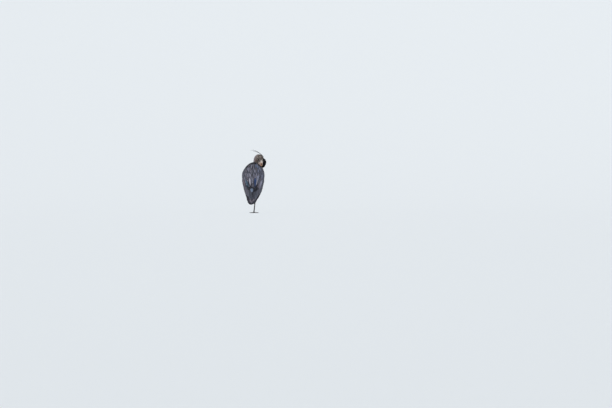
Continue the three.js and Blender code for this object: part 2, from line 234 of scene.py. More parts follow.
def voxelled(co, faces, cell):
    """One closed surface of quads round whatever the faces enclose, in cells of the given size."""
    obj = object_from("voxelled", co, faces)
    modifier = obj.modifiers.new("cells", "REMESH")
    modifier.mode = "VOXEL"
    modifier.voxel_size = cell
    made = obj.evaluated_get(bpy.context.evaluated_depsgraph_get()).to_mesh()
    out = np.empty(len(made.vertices) * 3)
    made.vertices.foreach_get("co", out)
    quads = np.empty(len(made.loops), int)
    made.loops.foreach_get("vertex_index", quads)
    mesh = obj.data
    bpy.data.objects.remove(obj)
    bpy.data.meshes.remove(mesh)
    return Surface(out.reshape(-1, 3), quads.reshape(-1, 4)).largest()


def sunk(surface, depth, cell, rounds):
    """The surface moved in by a depth for each corner, made whole again and smoothed."""
    inwards = unit(surface.smooth(surface.normals(), 4))
    made = voxelled(surface.co - inwards * depth[:, None], surface.faces, cell)
    made.co = made.smooth(made.co, rounds)
    return made


# ---- places on the bird ----


def centre_of(node):
    """The middle of a CAD node's box."""
    low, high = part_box(node)
    return np.array((low + high) / 2)


EYES = {name: centre_of(f"eye_{name}") for name in SIDES}
EYE_RADIUS = (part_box("eye_right")[1].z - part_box("eye_right")[0].z) / 2
EYE_TO_BILL = 30 * MM
EYE_MIDDLE = (EYES["left"] + EYES["right"]) / 2
BILL_VERTS = node_arrays(["bill_upper", "bill_lower"])[0]
BILL_REACH = np.linalg.norm(BILL_VERTS - EYE_MIDDLE, axis=1)
BILL_TIP = BILL_VERTS[BILL_REACH > BILL_REACH.max() - 1 * MM].mean(0)
HEAD_RIGHT = unit(EYES["right"] - EYES["left"])
FORWARD = unit(BILL_TIP - EYE_MIDDLE)
FORWARD = unit(FORWARD - HEAD_RIGHT * dot(FORWARD, HEAD_RIGHT))
CROWN = np.cross(HEAD_RIGHT, FORWARD)
BILL_BASE = EYE_MIDDLE + FORWARD * EYE_TO_BILL + CROWN * MM


def head_mm(points):
    """Places in the head's own millimetres: back from the bill's base, up to the crown, to its right."""
    p = (np.asarray(points) - BILL_BASE) / MM
    return dot(p, -FORWARD), dot(p, CROWN), dot(p, HEAD_RIGHT)


def on_head(back, up, right):
    """The places in the world that head_mm would give these values for."""
    back, up, right = (np.asarray(value, float)[..., None] * MM for value in (back, up, right))
    return BILL_BASE - FORWARD * back + CROWN * up + HEAD_RIGHT * right


MIDDLE_X = (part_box("wing_left")[0].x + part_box("wing_right")[1].x) / 2
WING_TIPS = {name: np.array(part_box(f"primaries_{name}")[0]) for name in SIDES}
TAIL_LOW, TAIL_HIGH = (np.array(c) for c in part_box("tail"))
BACK_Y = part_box("wing_right")[0].y
TAIL_TIP = np.array([(TAIL_LOW[0] + TAIL_HIGH[0]) / 2, TAIL_LOW[1] - 10 * MM, TAIL_LOW[2] - 45 * MM])
VENT = np.array([MIDDLE_X, TAIL_HIGH[1] + 50 * MM, TAIL_HIGH[2] - 60 * MM])
ARCH_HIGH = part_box("neck_upper")[1]
# The crease under the arch of the neck.
ARCH = np.array([ARCH_HIGH.x - 46 * MM, centre_of("neck_upper")[1], ARCH_HIGH.z - 88 * MM])
HEELS = {name: np.array(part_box(f"shank_{name}")[0]) for name in SIDES}

# ---- colours, as linear light ----


def srgb(hexadecimal):
    """A colour code as linear light."""
    value = np.array([int(hexadecimal[i : i + 2], 16) for i in (0, 2, 4)]) / 255
    return np.where(value < 0.04045, value / 12.92, ((value + 0.055) / 1.055) ** 2.4)


SLATE = srgb("565863")
PALE_SLATE = srgb("8a8999")
SILVER = srgb("b4b1bd")
DEEP_SLATE = srgb("31323c")
PINK_SLATE = srgb("70676f")
BLUE_SLATE = srgb("616d86")
TEAL_SLATE = srgb("36505f")
NAVY_SLATE = srgb("27406b")
# A near-black slate for painted shadow: under the scapulars, in the seam between the wings and in the
# clefts between the drifts.
SHADOW_SLATE = srgb("1d1f27")
LOWER_SLATE = srgb("42454f")
LOWER_EDGE = srgb("6b6e79")
BLUE_GREY = srgb("74839a")
FLIGHT = srgb("2c2b33")
FLIGHT_EDGE = srgb("4d4b56")
BLACK = srgb("0f0f14")
BLACK_EDGE = srgb("1c1d26")
WHITE = srgb("f6f2ee")
CREAM = srgb("d8c6ba")
PEACH = srgb("f6b690")
NECK_GREY = srgb("958a83")
NECK_DARK = srgb("5b5350")
NECK_LILAC = srgb("857a86")
NECK_EDGE = srgb("a89b93")
RUFOUS = srgb("94633f")
LORE = srgb("cf9c72")
BARE_SKIN = srgb("5f5641")
LID = srgb("24201c")
HORN = srgb("c2913f")
HORN_PALE = srgb("d8b26a")
DUSKY_HORN = srgb("7d6236")
CULMEN = srgb("43382a")
LEG = srgb("1e1918")
LEG_PALE = srgb("3d362f")
CLAW = srgb("131111")
IRIS = srgb("b0661a")
BACKDROP = (0.765, 0.79, 0.80)


# ---- the skin ----

TORSO_NODES = ["trunk", "tail", "wing_left", "wing_right", "primaries_left", "primaries_right"]
TORSO_NODES += ["neck_lower", "neck_middle", "neck_upper", "thigh_left", "thigh_right"]
TORSO_CELL = 3.1 * MM
BODY_DEPTH, NECK_DEPTH, THIN_DEPTH = 7 * MM, 4.5 * MM, 3 * MM


def torso_skin():
    """The skin of trunk, wings, neck and thighs, with the lie of the coat and the node of each corner."""
    verts, tris, owner = node_arrays(TORSO_NODES, grow=0.4 * MM)
    cad = Surface(verts, tris)
    whole = voxelled(verts, tris, TORSO_CELL)
    whole.co = whole.smooth(whole.co, 6)
    node = owner[cad.nearest(whole.co)[1]]
    name = np.array(TORSO_NODES)[node]
    depth = np.full(len(whole.co), BODY_DEPTH)
    depth[starts(name, "neck")] = NECK_DEPTH
    depth[starts(name, "thigh", "tail", "primaries")] = THIN_DEPTH
    depth = whole.smooth(depth, 25)[:, 0]
    skin = sunk(whole, depth, TORSO_CELL, 8)
    skin.node = np.array(TORSO_NODES)[owner[cad.nearest(skin.co)[1]]]
    p, node = skin.co, skin.node
    flow = TAIL_TIP - p
    around = np.cross(p - ARCH, [0, 1, 0])
    arch = (node == "neck_upper") | (node == "neck_middle")
    flow = np.where(arch[:, None], around, unit(flow))
    flow = np.where((node == "neck_lower")[:, None], [-0.15, 0.0, -1.0], unit(flow))
    breast = (node == "trunk") & (skin.normals()[:, 1] > -0.1)
    flow = np.where(breast[:, None], unit(VENT - p), flow)
    for side in SIDES:
        flow = np.where((node == f"thigh_{side}")[:, None], unit(HEELS[side] - p), flow)
    skin.lay(flow, 18)
    return skin


HEAD_CELL = 0.85 * MM


def head_skin():
    """The skin of the head, with brows, sunken lores, the corners of the gape, and cheeks."""
    names = ["head", "eye_left", "eye_right"]
    verts, tris, _ = node_arrays(names, grow=0.3 * MM)
    whole = voxelled(verts, tris, HEAD_CELL)
    whole.co = whole.smooth(whole.co, 30)
    back, up, right = head_mm(whole.co)
    out = np.abs(right)
    depth = 1.6 + 4.6 * ease(12, 36, up) * ease(2, 30, back) + 2.2 * ease(55, 85, back)
    depth -= 1.0 * hill(9.5, 5, up) * hill(28, 20, back) * ease(8, 14, out)  # brow
    depth -= 0.9 * hill(-14, 9, up) * hill(38, 22, back) * ease(8, 14, out)  # cheek
    depth += 1.3 * hill(1, 5, up) * hill(12, 13, back)  # lore
    depth += 0.9 * hill(-6, 2.2, up) * ease(24, 12, back)  # gape
    depth += 0.8 * hill(-22, 8, up) * hill(14, 14, back)
    skin = sunk(whole, depth * MM, HEAD_CELL, 4)
    flow = skin.co - (BILL_BASE + FORWARD * 12 * MM)
    neckward = ease(74, 90, head_mm(skin.co)[0])
    flow = blend(unit(flow), unit(np.cross(skin.co - ARCH, [0, 1, 0])), neckward)
    skin.lay(flow, 10)
    return skin


LEG_CELL = 1.0 * MM
HIDDEN_SHANK = 26 * MM  # how far the skin of the shank runs on inside the thigh
# Which way the front of a leg and the top of its toes face.
FRONT = {"right": np.array([0, 1, 0.0]), "left": unit([0, -0.45, 0.9])}
UPPER = {"right": np.array([0, 0, 1.0]), "left": unit([0, 1.0, 0.25])}


def leg_nodes(side):
    """The CAD nodes of a leg below the thigh, without its claws."""
    return [f"{part}_{side}" for part in ("shank", "tarsus", "foot", *(f"toe_{toe}" for toe in TOES))]


def leg_skin(side):
    """The skin of one leg below the thigh, with plates down its front and over each toe."""
    names = leg_nodes(side)
    verts, tris, owner = node_arrays(names, grow=0.25 * MM)
    shank = np.unique(tris[owner == 0])
    upwards = unit(centre_of(f"thigh_{side}") - centre_of(names[0]))
    height = dot(verts[shank], upwards)
    verts[shank[height > height.max() - 12 * MM]] += upwards * HIDDEN_SHANK
    cad = Surface(verts, tris)
    skin = voxelled(verts, tris, LEG_CELL)
    skin.co = skin.smooth(skin.co, 5)
    node = owner[cad.nearest(skin.co)[1]]
    normal = unit(skin.smooth(skin.normals(), 3))
    rise = np.full(len(skin.co), -0.5)
    for number, name in enumerate(names):
        mine = node == number
        if not mine.any() or name.startswith("foot"):
            continue
        corners = verts[np.unique(tris[owner == number])]
        centre = corners.mean(0)
        axis = np.linalg.svd(corners - centre, full_matrices=False)[2][0]
        along = dot(skin.co[mine] - centre, axis) / MM
        toe = name.startswith("toe")
        upper = UPPER[side] if toe else FRONT[side]
        faces_front = ease(-0.1, 0.35, dot(normal[mine], upper))
        period = 3.4 if toe else 4.6
        groove = hill(0, 0.16, along / period - np.round(along / period))
        rise[mine] += faces_front * (0.22 - 0.36 * groove)
        if toe:
            rise[mine] += (1 - faces_front) * 0.35 * np.sin(2 * math.pi * along / 9.0)
    if side == "right":
        rise *= ease(0.2, 2.0, skin.co[:, 2] / MM)
    skin.co += normal * rise[:, None] * MM
    skin.co[:, 2] = np.maximum(skin.co[:, 2], 0)
    return skin


# ---- vanes ----

# Each kind of vane: the places along it where it is cut across, and its half width at each.
KINDS = {
    "tuft": ((0.12, 0.5, 0.86), (0.5, 1.0, 0.66)),
    "body": ((0.07, 0.3, 0.6, 0.82, 0.95), (0.45, 0.9, 1.0, 0.75, 0.4)),
    "covert": (
        (0.05, 0.18, 0.36, 0.54, 0.7, 0.82, 0.9, 0.96),
        (0.4, 0.75, 0.95, 1.0, 0.93, 0.76, 0.56, 0.3),
    ),
    "lance": ((0.04, 0.16, 0.34, 0.54, 0.73, 0.87, 0.95), (0.35, 0.78, 1.0, 0.86, 0.58, 0.32, 0.14)),
    "primary": (
        (0.03, 0.1, 0.22, 0.36, 0.5, 0.64, 0.76, 0.85, 0.91, 0.955, 0.985),
        (0.3, 0.62, 0.84, 0.95, 1.0, 0.96, 0.84, 0.66, 0.48, 0.3, 0.15),
    ),
    "quill": (
        (0.03, 0.1, 0.22, 0.36, 0.5, 0.64, 0.76, 0.85, 0.91, 0.955, 0.985),
        (0.3, 0.62, 0.84, 0.95, 1.0, 1.0, 0.94, 0.82, 0.66, 0.46, 0.25),
    ),
    "plume": (
        tuple(np.linspace(0.03, 0.975, 22).round(3)),
        tuple((0.35 + 0.65 * np.sin(np.linspace(0.3, 3.05, 22)) ** 0.8).round(3)),
    ),
}
# Across a vane: how far out each point is, and how high on the ridge.
NARROW = ((-1, 0), (0, 1), (1, 0))
BROAD = ((-1, 0), (-0.5, 0.75), (0, 1), (0.5, 0.75), (1, 0), (0, -0.12))
PATCH = 0.003  # the size of one vane on the bake map
MARGIN = 0.01  # and how far its middle stays from the map's edge
# Marks the root and the tip of a vane, which belong to its left side (-1) and to its right side (1).
BOTH_SIDES = 2


def vane_faces(stations, across):
    """The triangles of one closed vane: a point at its root, rings of points, and a point at its tip."""
    tip, last, tris = stations * across + 1, 1 + (stations - 1) * across, []
    for j in range(across):
        k = (j + 1) % across
        tris += [(0, 1 + k, 1 + j), (tip, last + j, last + k)]
        for ring in range(1, last, across):
            a, b, c, d = ring + j, ring + k, ring + k + across, ring + j + across
            tris += [(a, b, c), (a, c, d)]
    return np.array(tris)


def lie_lines(surface, roots, turn, length, steps, low, high, follow, cling, heading):
    """Lines over a surface the way the coat lies, with their sides and normals, lifted from low to high."""
    place, face = surface.nearest(roots)
    here, done, lines = place, 0.0, []
    for s in steps:
        if s > 0:
            reach = ((s - done) * length)[:, None]
            ahead = here + way * reach
            place, face = surface.nearest(ahead)
            gap = place - ahead
            hold = cling * reach / np.maximum(np.linalg.norm(gap, axis=1, keepdims=True), 1e-9)
            here = ahead + gap * np.minimum(1, hold)
        read = surface.read(surface.frame, place, face)
        normal, lie = unit(read[:, :3]), unit(read[:, 3:])
        if s == 0:
            way = lie if heading is None else heading
            way = way * np.cos(turn)[:, None] + np.cross(normal, way) * np.sin(turn)[:, None]
        elif heading is None:
            way = way + lie * follow * (s - done)
        way = unit(way - normal * dot(way, normal)[:, None] * cling)
        done = s
        lift = low + (high - low) * s**0.75
        lines.append((here + normal * lift[:, None], unit(np.cross(way, normal)), normal))
    return [np.stack(part, 1) for part in zip(*lines)]


class Coat:
    """One piece of the coat: closed vanes with their colours and their places on an unwrap of the skin."""

    def __init__(self, name, unwrap):
        self.name, self.unwrap, self.batches = name, unwrap, []

    def add(self, spine, side, normal, width, kind, camber, across, tint, edge, style, roots,
            rim_noise=0.1):
        """Vanes along given lines, each cut across at the steps of its kind."""
        steps, shares = KINDS[kind]
        count, rings, wide = len(spine), len(steps), len(across)
        out, rise = np.array(across, float).T
        uneven = 1 + rim_noise * (2 * chance.random((count, rings)) - 1)
        half = width[:, None] / 2 * np.array(shares) * uneven
        inner = slice(1, -1)
        skew = 1 + rim_noise * (2 * chance.random((count, rings, wide)) - 1) * (out != 0)
        co = spine[:, inner, None] + side[:, inner, None] * (half[..., None] * out * skew)[..., None]
        co = co + normal[:, inner, None] * (half[..., None] * rise * camber)[..., None]
        co = np.concatenate([spine[:, :1], co.reshape(count, -1, 3), spine[:, -1:]], 1)
        u = np.concatenate([[0], np.repeat(steps, wide), [1]])
        v = np.concatenate([[0], np.tile(out, rings), [0]])
        own = chance.random(count)
        shape = (count, len(u))

        def spread_out(values):
            """One value a vane, given to each of its points."""
            return np.repeat(values[:, None], len(u), 1)

        quill = np.stack([np.broadcast_to(values, shape) for values in (u, v, own[:, None])], 2)
        length = np.linalg.norm(np.diff(spine, axis=1), axis=2).sum(1)
        size = np.stack([width / 2 / MM, length / MM, np.full(count, style)], 1)
        middle = np.clip(self.unwrap(roots), 0, 1) * (1 - 2 * MARGIN) + MARGIN
        patch = np.stack([v * 0.5, u - 0.5], 1) * PATCH
        rim = np.concatenate([[BOTH_SIDES], np.tile(np.sign(out), rings), [BOTH_SIDES]]).astype(int)
        rim[1:-1][np.tile(rise < 0, rings)] = 0
        self.batches.append(
            {
                "co": co,
                "faces": vane_faces(rings, wide),
                "quill": quill,
                "size": spread_out(size),
                "tint": spread_out(np.broadcast_to(tint, (count, 3))),
                "edge": spread_out(np.broadcast_to(edge, (count, 3))),
                "uv": middle[:, None] + patch,
                "rim": np.broadcast_to(rim, shape),
            }
        )

    def grow(self, surface, roots, length, width, low, high, tint, edge, kind="body", heading=None, **more):
        """Vanes rooted on a surface. Sizes and heights are in millimetres, one value or one for each."""
        count = len(roots)
        if count == 0:
            return
        sizes = (np.asarray(value, float) * MM for value in (length, width, low, high))
        length, width, low, high = (np.broadcast_to(value, (count,)).copy() for value in sizes)
        length *= spread(count, more.get("uneven", 0.14))
        width *= spread(count, 0.1)
        high = low + (high - low) * spread(count, 0.25)
        turn = more.get("turn", 0.12) * chance.normal(size=count)
        steps = (0, *KINDS[kind][0], 1)
        bend = more.get("follow", 1.4), more.get("cling", 0.8)
        lines = lie_lines(surface, roots, turn, length, steps, low, high, *bend, heading)
        camber, across = more.get("camber", 0.16), more.get("across", NARROW)
        self.add(*lines, width, kind, camber, across, tint, edge, more.get("style", 0.5), roots)

    def build(self, material, slot, *nodes):
        """The piece itself, in place of CAD nodes if any are named."""
        start, faces = 0, []
        for batch in self.batches:
            count, points = batch["co"].shape[:2]
            offsets = start + points * np.arange(count)
            faces.append((batch["faces"][None] + offsets[:, None, None]).reshape(-1, 3))
            start += count * points
        joined = {
            key: np.concatenate([batch[key].reshape(-1, *batch[key].shape[2:]) for batch in self.batches])
            for key in ("co", "quill", "size", "tint", "edge", "uv", "rim")
        }
        rim = joined["rim"]

        def crisp(a, b):
            """Whether a pair of points lies on one side of a vane, off its shaft and its underside."""
            same = (rim[a] == rim[b]) | (rim[a] == BOTH_SIDES) | (rim[b] == BOTH_SIDES)
            return (rim[a] != 0) & (rim[b] != 0) & same

        faces = np.concatenate(faces)
        obj = object_from(self.name, joined["co"], faces, crisp)
        put_values(obj.data, joined)
        layer = obj.data.uv_layers.new(name="OFBake")
        layer.data.foreach_set("uv", joined["uv"][faces.ravel()].astype(np.float32).ravel())
        finish_piece(obj, material, slot, *nodes)


def finish_piece(obj, material, slot, *nodes):
    """Gives a piece its material, its body and the CAD nodes that it stands in for. The slot is not used.
    """
    obj.data.materials.append(material)
    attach(obj, "root")
    if nodes:
        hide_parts(*nodes)


def put_values(mesh, values):
    """The colours and coordinates that the materials read, at each point of a mesh."""
    for key in ("tint", "edge"):
        if key in values:
            colour = np.concatenate([values[key], np.ones((len(values[key]), 1))], 1)
            layer = mesh.attributes.new(key, "FLOAT_COLOR", "POINT")
            layer.data.foreach_set("color", colour.astype(np.float32).ravel())
    for key in ("quill", "size"):
        if key in values:
            layer = mesh.attributes.new(key, "FLOAT_VECTOR", "POINT")
            layer.data.foreach_set("vector", np.asarray(values[key], np.float32).ravel())


def face_middles(surface):
    """The middle of each face."""
    return surface.co[surface.faces].mean(1)


def scatter(surface, chosen, spacing):
    """Places spread evenly over chosen faces, and a corner near each. spacing may depend on the place."""
    p = surface.co[surface.faces]
    area = np.linalg.norm(np.cross(p[:, 2] - p[:, 0], p[:, 3] - p[:, 1]), axis=1) / 2
    gap = spacing(p.mean(1)) if callable(spacing) else np.full(len(p), spacing)
    gap = gap * MM
    weight = np.where(chosen, area / gap**2, 0)
    count = int(weight.sum() * 4)
    pick = chance.choice(len(p), count, p=weight / weight.sum())
    a, b = chance.random((2, count, 1))
    q = p[pick]
    places = (q[:, 0] * (1 - a) + q[:, 1] * a) * (1 - b) + (q[:, 3] * (1 - a) + q[:, 2] * a) * b
    kept = thinned(places, gap[pick])
    return places[kept], surface.faces[pick[kept], 0]


def thinned(places, gaps):
    """Which places are left when each one closer than its gap to an earlier one is dropped."""
    cell = gaps.max()
    code = np.array((1, 4096, 4096 * 4096))
    keys = (np.floor(places / cell).astype(int) + 2000) @ code
    near = [int(np.dot(step, code)) for step in itertools.product((-1, 0, 1), repeat=3)]
    grid, kept = {}, []
    candidates = zip(keys.tolist(), places.tolist(), (gaps**2).tolist())
    for i, (key, (x, y, z), gap) in enumerate(candidates):
        for step in near:
            found = grid.get(key + step)
            if found and any((x - a) ** 2 + (y - b) ** 2 + (z - c) ** 2 < gap for a, b, c in found):
                break
        else:
            grid.setdefault(key, []).append((x, y, z))
            kept.append(i)
    return np.array(kept)


# ---- unwraps for the bake maps ----


def unwrap_body(places):
    """Unrolled round a line that leans as the body does, by angle and by height."""
    x, y, z = places.T
    middle = BACK_Y * 0.2 + (z - TAIL_LOW[2]) * 0.42 - 0.06
    angle = np.arctan2(x - MIDDLE_X, middle - y)
    return np.stack([angle / (2 * math.pi) + 0.5, (z - TAIL_LOW[2]) / 0.46], 1)


def unwrap_neck(places):
    """Unrolled round the neck, which runs straight up to the arch and then round its crease."""
    away = places - ARCH
    turn = np.arctan2(away[:, 2], away[:, 0]) / math.pi
    ring = np.hypot(away[:, 0], away[:, 2]) - 0.03
    below = places[:, 2] < ARCH[2] - 0.02
    low = np.clip((places[:, 2] - 0.40) / 0.12, 0, 1) * 0.4
    length = np.where(below, low, 0.4 + 0.6 * (1 - np.clip(turn, -0.2, 1)) / 1.2)
    around = np.arctan2(np.where(below, away[:, 0] + 0.03, ring), -away[:, 1])
    return np.stack([around / (2 * math.pi) + 0.5, length], 1)


def unwrap_head(places):
    """Unrolled round the line from the bill to the nape."""
    back, up, right = head_mm(places)
    return np.stack([np.arctan2(right, up) / (2 * math.pi) + 0.5, (back + 10) / 110], 1)


# ---- materials ----


class Shader:
    """A node material, built in short calls."""

    def __init__(self, name, roughness, **plain):
        self.material = bpy.data.materials.new(name)
        self.material.use_nodes = True
        self.tree = self.material.node_tree
        self.main = self.tree.nodes["Principled BSDF"]
        self.put(self.main.inputs["Roughness"], roughness)
        for socket, value in plain.items():
            self.put(self.main.inputs[socket.replace("_", " ")], value)

    def put(self, socket, value):
        """Links or sets the value of a socket."""
        if isinstance(value, bpy.types.NodeSocket):
            self.tree.links.new(value, socket)
        else:
            socket.default_value = value

    def node(self, kind, values=(), **settings):
        """A new node with its settings and the values of its inputs."""
        made = self.tree.nodes.new("ShaderNode" + kind)
        for key, value in settings.items():
            setattr(made, key, value)
        for key, value in dict(values).items():
            self.put(made.inputs[key], value)
        return made

    def maths(self, operation, *values, clamp=False):
        """A sum, product or the like."""
        return self.node("Math", enumerate(values), operation=operation, use_clamp=clamp).outputs[0]

    def ease(self, value, low, high, to_low=0.0, to_high=1.0):
        """A smooth step from to_low at low to to_high at high."""
        values = {"Value": value, "From Min": low, "From Max": high, "To Min": to_low, "To Max": to_high}
        return self.node("MapRange", values, interpolation_type="SMOOTHSTEP").outputs[0]

    def mix(self, factor, a, b, mode="MIX"):
        """Two colours mixed."""
        return self.node("Mix", {0: factor, 6: a, 7: b}, data_type="RGBA", blend_type=mode).outputs[2]

    def read(self, name):
        """The node that reads the values put on the mesh under a name."""
        return self.node("Attribute", attribute_name=name)

    def parts(self, name):
        """The three parts of a vector put on the mesh."""
        return self.node("SeparateXYZ", {0: self.read(name).outputs["Vector"]}).outputs[:]

    def noise(self, vector, scale, detail=2.0, roughness=0.5):
        """Soft noise in 0..1."""
        values = {"Vector": vector, "Scale": scale, "Detail": detail, "Roughness": roughness}
        return self.node("TexNoise", values).outputs[0]

    def join(self, x, y, z):
        """A vector made of three values."""
        return self.node("CombineXYZ", {0: x, 1: y, 2: z}).outputs[0]

    def shaded(self, colour, shade):
        """A colour made darker or lighter by a factor."""
        factor = self.node("CombineColor", {0: shade, 1: shade, 2: shade}).outputs[0]
        return self.mix(1.0, colour, factor, "MULTIPLY")

    def colour(self, name):
        """A colour put on the mesh."""
        return self.read(name).outputs["Color"]

    def here(self):
        """The place that is being coloured."""
        return self.node("TexCoord").outputs["Object"]

    def finish(self, colour, height=None, strength=0.3, distance=0.4 * MM):
        """The material itself, with bumps where a height is given."""
        self.put(self.main.inputs["Base Color"], colour)
        if height is not None:
            values = {"Height": height, "Strength": strength, "Distance": distance}
            self.put(self.main.inputs["Normal"], self.node("Bump", values).outputs[0])
        return self.material


def grey(value):
    """An opaque grey."""
    return (value, value, value, 1)


def plume_material(name, roughness=0.72, sheen=0.06, fringe_from=0.45, shaft=0.35, mottle=0.5,
                   painted_root_shade=0.6):
    """Barbs slanting out from a shaft, with an edge of another colour that frays into the vane."""
    shader = Shader(name, roughness, Specular_IOR_Level=0.2, Sheen_Weight=sheen, Sheen_Roughness=0.4)
    m = shader.maths
    u, v, own = shader.parts("quill")
    half, length, style = shader.parts("size")
    out = m("ABSOLUTE", v)
    barb = m("SUBTRACT", m("MULTIPLY", u, length), m("MULTIPLY", m("MULTIPLY", out, half), 1.3))
    lanes = shader.join(barb, m("MULTIPLY", v, 0.7), m("MULTIPLY", own, 97.0))
    streak = shader.noise(lanes, 1.6, 3.0, 0.6)
    rim = m("MAXIMUM", out, m("MULTIPLY_ADD", u, 2.2, -1.25))
    frayed = m("MULTIPLY_ADD", m("SUBTRACT", streak, 0.5), 0.9, rim)
    fringe = m("MULTIPLY", shader.ease(frayed, fringe_from, 1.05), shader.ease(style, 0.0, 1.0, 0.35, 1.0))
    colour = shader.mix(fringe, shader.colour("tint"), shader.colour("edge"))
    stem = m("MULTIPLY", shader.ease(out, 0.13, 0.02), shader.ease(style, 0.4, 1.0, 0.0, shaft))
    stem = m("MULTIPLY", stem, shader.ease(u, 0.97, 0.8))
    colour = shader.mix(stem, colour, shader.mix(1.0, colour, grey(0.35), "MULTIPLY"))
    shade = shader.ease(streak, 0.3, 0.72, 1 - mottle * 0.5, 1 + mottle * 0.35)
    age = shader.ease(own, 0.0, 1.0, 0.88, 1.12)
    # Painted shade: each vane darkens towards its root, where the vanes over it would shade it.
    root = shader.ease(u, 0.0, 0.55, painted_root_shade, 1.0)
    shade = m("MULTIPLY", m("MULTIPLY", shade, age), root)
    return shader.finish(shader.shaded(colour, shade), streak, 0.35)


def skin_material():
    """The skin under the coat, in the coat's own colours made darker, as painted shade in the gaps between
    the vanes, and broken up like down.
    """
    shader = Shader("skin_down", 0.85, Specular_IOR_Level=0.2)
    noise = shader.noise(shader.here(), 420.0, 4.0, 0.65)
    shade = shader.ease(noise, 0.3, 0.7, 0.55, 0.9)
    return shader.finish(shader.shaded(shader.colour("tint"), shade), noise, 0.5, 0.6 * MM)


def bare_material():
    """Bare skin on the lores and lids: fine pebbles and creases."""
    shader = Shader("skin_bare", 0.5, Specular_IOR_Level=0.45, Subsurface_Weight=0.08)
    here = shader.here()
    pebble = shader.node("TexVoronoi", {"Vector": here, "Scale": 1500.0}, feature="SMOOTH_F1").outputs[0]
    noise = shader.noise(here, 500.0, 3.0)
    height = shader.maths("MULTIPLY_ADD", pebble, -0.6, noise)
    shade = shader.ease(height, -0.2, 0.6, 0.65, 1.12)
    return shader.finish(shader.shaded(shader.colour("tint"), shade), height, 0.35, 0.25 * MM)


def leg_material():
    """Scaly leg skin: small scales with dark creases, dull brown with worn paler plates."""
    shader = Shader("skin_leg", 0.55, Specular_IOR_Level=0.4)
    here = shader.here()
    cells = shader.node("TexVoronoi", {"Vector": here, "Scale": 420.0}, feature="DISTANCE_TO_EDGE")
    crease = shader.ease(cells.outputs[0], 0.0, 0.13)
    patch = shader.noise(here, 60.0, 4.0)
    fine = shader.noise(here, 900.0, 3.0)
    colour = shader.mix(shader.ease(patch, 0.38, 0.62), shader.colour("tint"), shader.colour("edge"))
    worn = shader.ease(fine, 0.3, 0.7, 0.85, 1.12)
    shade = shader.maths("MULTIPLY", shader.ease(crease, 0.0, 1.0, 0.6, 1.0), worn)
    height = shader.maths("MULTIPLY_ADD", fine, 0.3, crease)
    return shader.finish(shader.shaded(colour, shade), height, 0.45, 0.35 * MM)


def horn_material(name, roughness):
    """Horn with streaks along its growth and fine scratches. quill is how far along and how far round."""
    shader = Shader(name, roughness, Specular_IOR_Level=0.5, Coat_Weight=0.15, Coat_Roughness=0.25)
    m = shader.maths
    along, around, own = shader.parts("quill")
    lanes = shader.join(m("MULTIPLY", along, 0.06), m("MULTIPLY", around, 1.6), own)
    streak = shader.noise(lanes, 2.2, 4.0, 0.6)
    scratches = shader.join(m("MULTIPLY", along, 0.5), m("MULTIPLY", around, 9.0), own)
    fine = shader.noise(scratches, 2.0, 3.0)
    colour = shader.mix(shader.ease(streak, 0.35, 0.7), shader.colour("tint"), shader.colour("edge"))
    shade = shader.ease(fine, 0.25, 0.75, 0.86, 1.1)
    return shader.finish(shader.shaded(colour, shade), fine, 0.25, 0.2 * MM)


PUPIL_EDGE, IRIS_EDGE = 33.5, 40.0  # in degrees off the gaze
PUPIL = (0.004, 0.004, 0.005, 1)
EYE_RIM = (0.02, 0.015, 0.012, 1)


def eye_material():
    """A wide black pupil, an orange iris with rays and a dark rim. quill.x is degrees off the gaze."""
    shader = Shader("eye_glass", 0.25, Specular_IOR_Level=0.6, Coat_Weight=1.0, Coat_Roughness=0.02)
    off, spin, _ = shader.parts("quill")
    lanes = shader.join(shader.maths("MULTIPLY", off, 0.03), shader.maths("MULTIPLY", spin, 6.0), 0.0)
    rays = shader.noise(lanes, 2.0, 4.0)
    iris = shader.mix(shader.ease(rays, 0.35, 0.68), (*IRIS, 1), (*(IRIS * (1.0, 0.62, 0.35)), 1))
    iris = shader.mix(shader.ease(off, 27.0, 18.0), iris, (*(IRIS * (0.75, 0.5, 0.3)), 1))
    edge = shader.maths("MULTIPLY_ADD", rays, 3.0, off)
    colour = shader.mix(shader.ease(edge, PUPIL_EDGE + 1.5, PUPIL_EDGE), iris, PUPIL)
    colour = shader.mix(shader.ease(off, IRIS_EDGE, IRIS_EDGE + 6.0), colour, EYE_RIM)
    return shader.finish(colour)


# ---- colours over the bird ----


def head_colours(places):
    """White cheeks, peach towards the bill and darker low by its base as painted shade, under a black crown
    with a thin pale parting in front.
    """
    back, up, right = head_mm(places)
    rough = ripple(places, 3 * MM)
    tint = blend(WHITE, CREAM, np.clip(0.5 + 0.5 * ripple(places, 9 * MM), 0, 1))
    warm = hill(18, 34, back) * hill(-6, 22, up)
    tint = blend(tint, PEACH, warm)
    edge = blend(WHITE, blend(CREAM, PEACH, 0.4), warm)
    nape = 0.8 * ease(46, 64, back + 4 * rough + 0.3 * up)
    tint, edge = blend(tint, NECK_GREY, nape), blend(edge, NECK_EDGE, nape)
    # Painted shade: the feathers low by the bill's base darken, standing for the shadow between the head
    # and the shoulder.
    mottle_and_painted_shade = ease(13, 5, back + 2 * rough) * ease(-16, -4, up)
    tint, edge = blend(tint, NECK_DARK * 0.5, mottle_and_painted_shade), blend(edge, NECK_DARK, mottle_and_painted_shade)
    brow = up - 10.5 + 3 * ease(22, 4, back) + 10 * ease(56, 88, back)
    black = ease(-1.2, 1.2, brow + rough) * ease(-3, 1, back)
    black *= 1 - ease(3.4, 2.2, np.abs(right) + 0.4 * rough) * ease(44, 30, back)
    return blend(tint, BLACK, black), blend(edge, BLACK_EDGE, black)


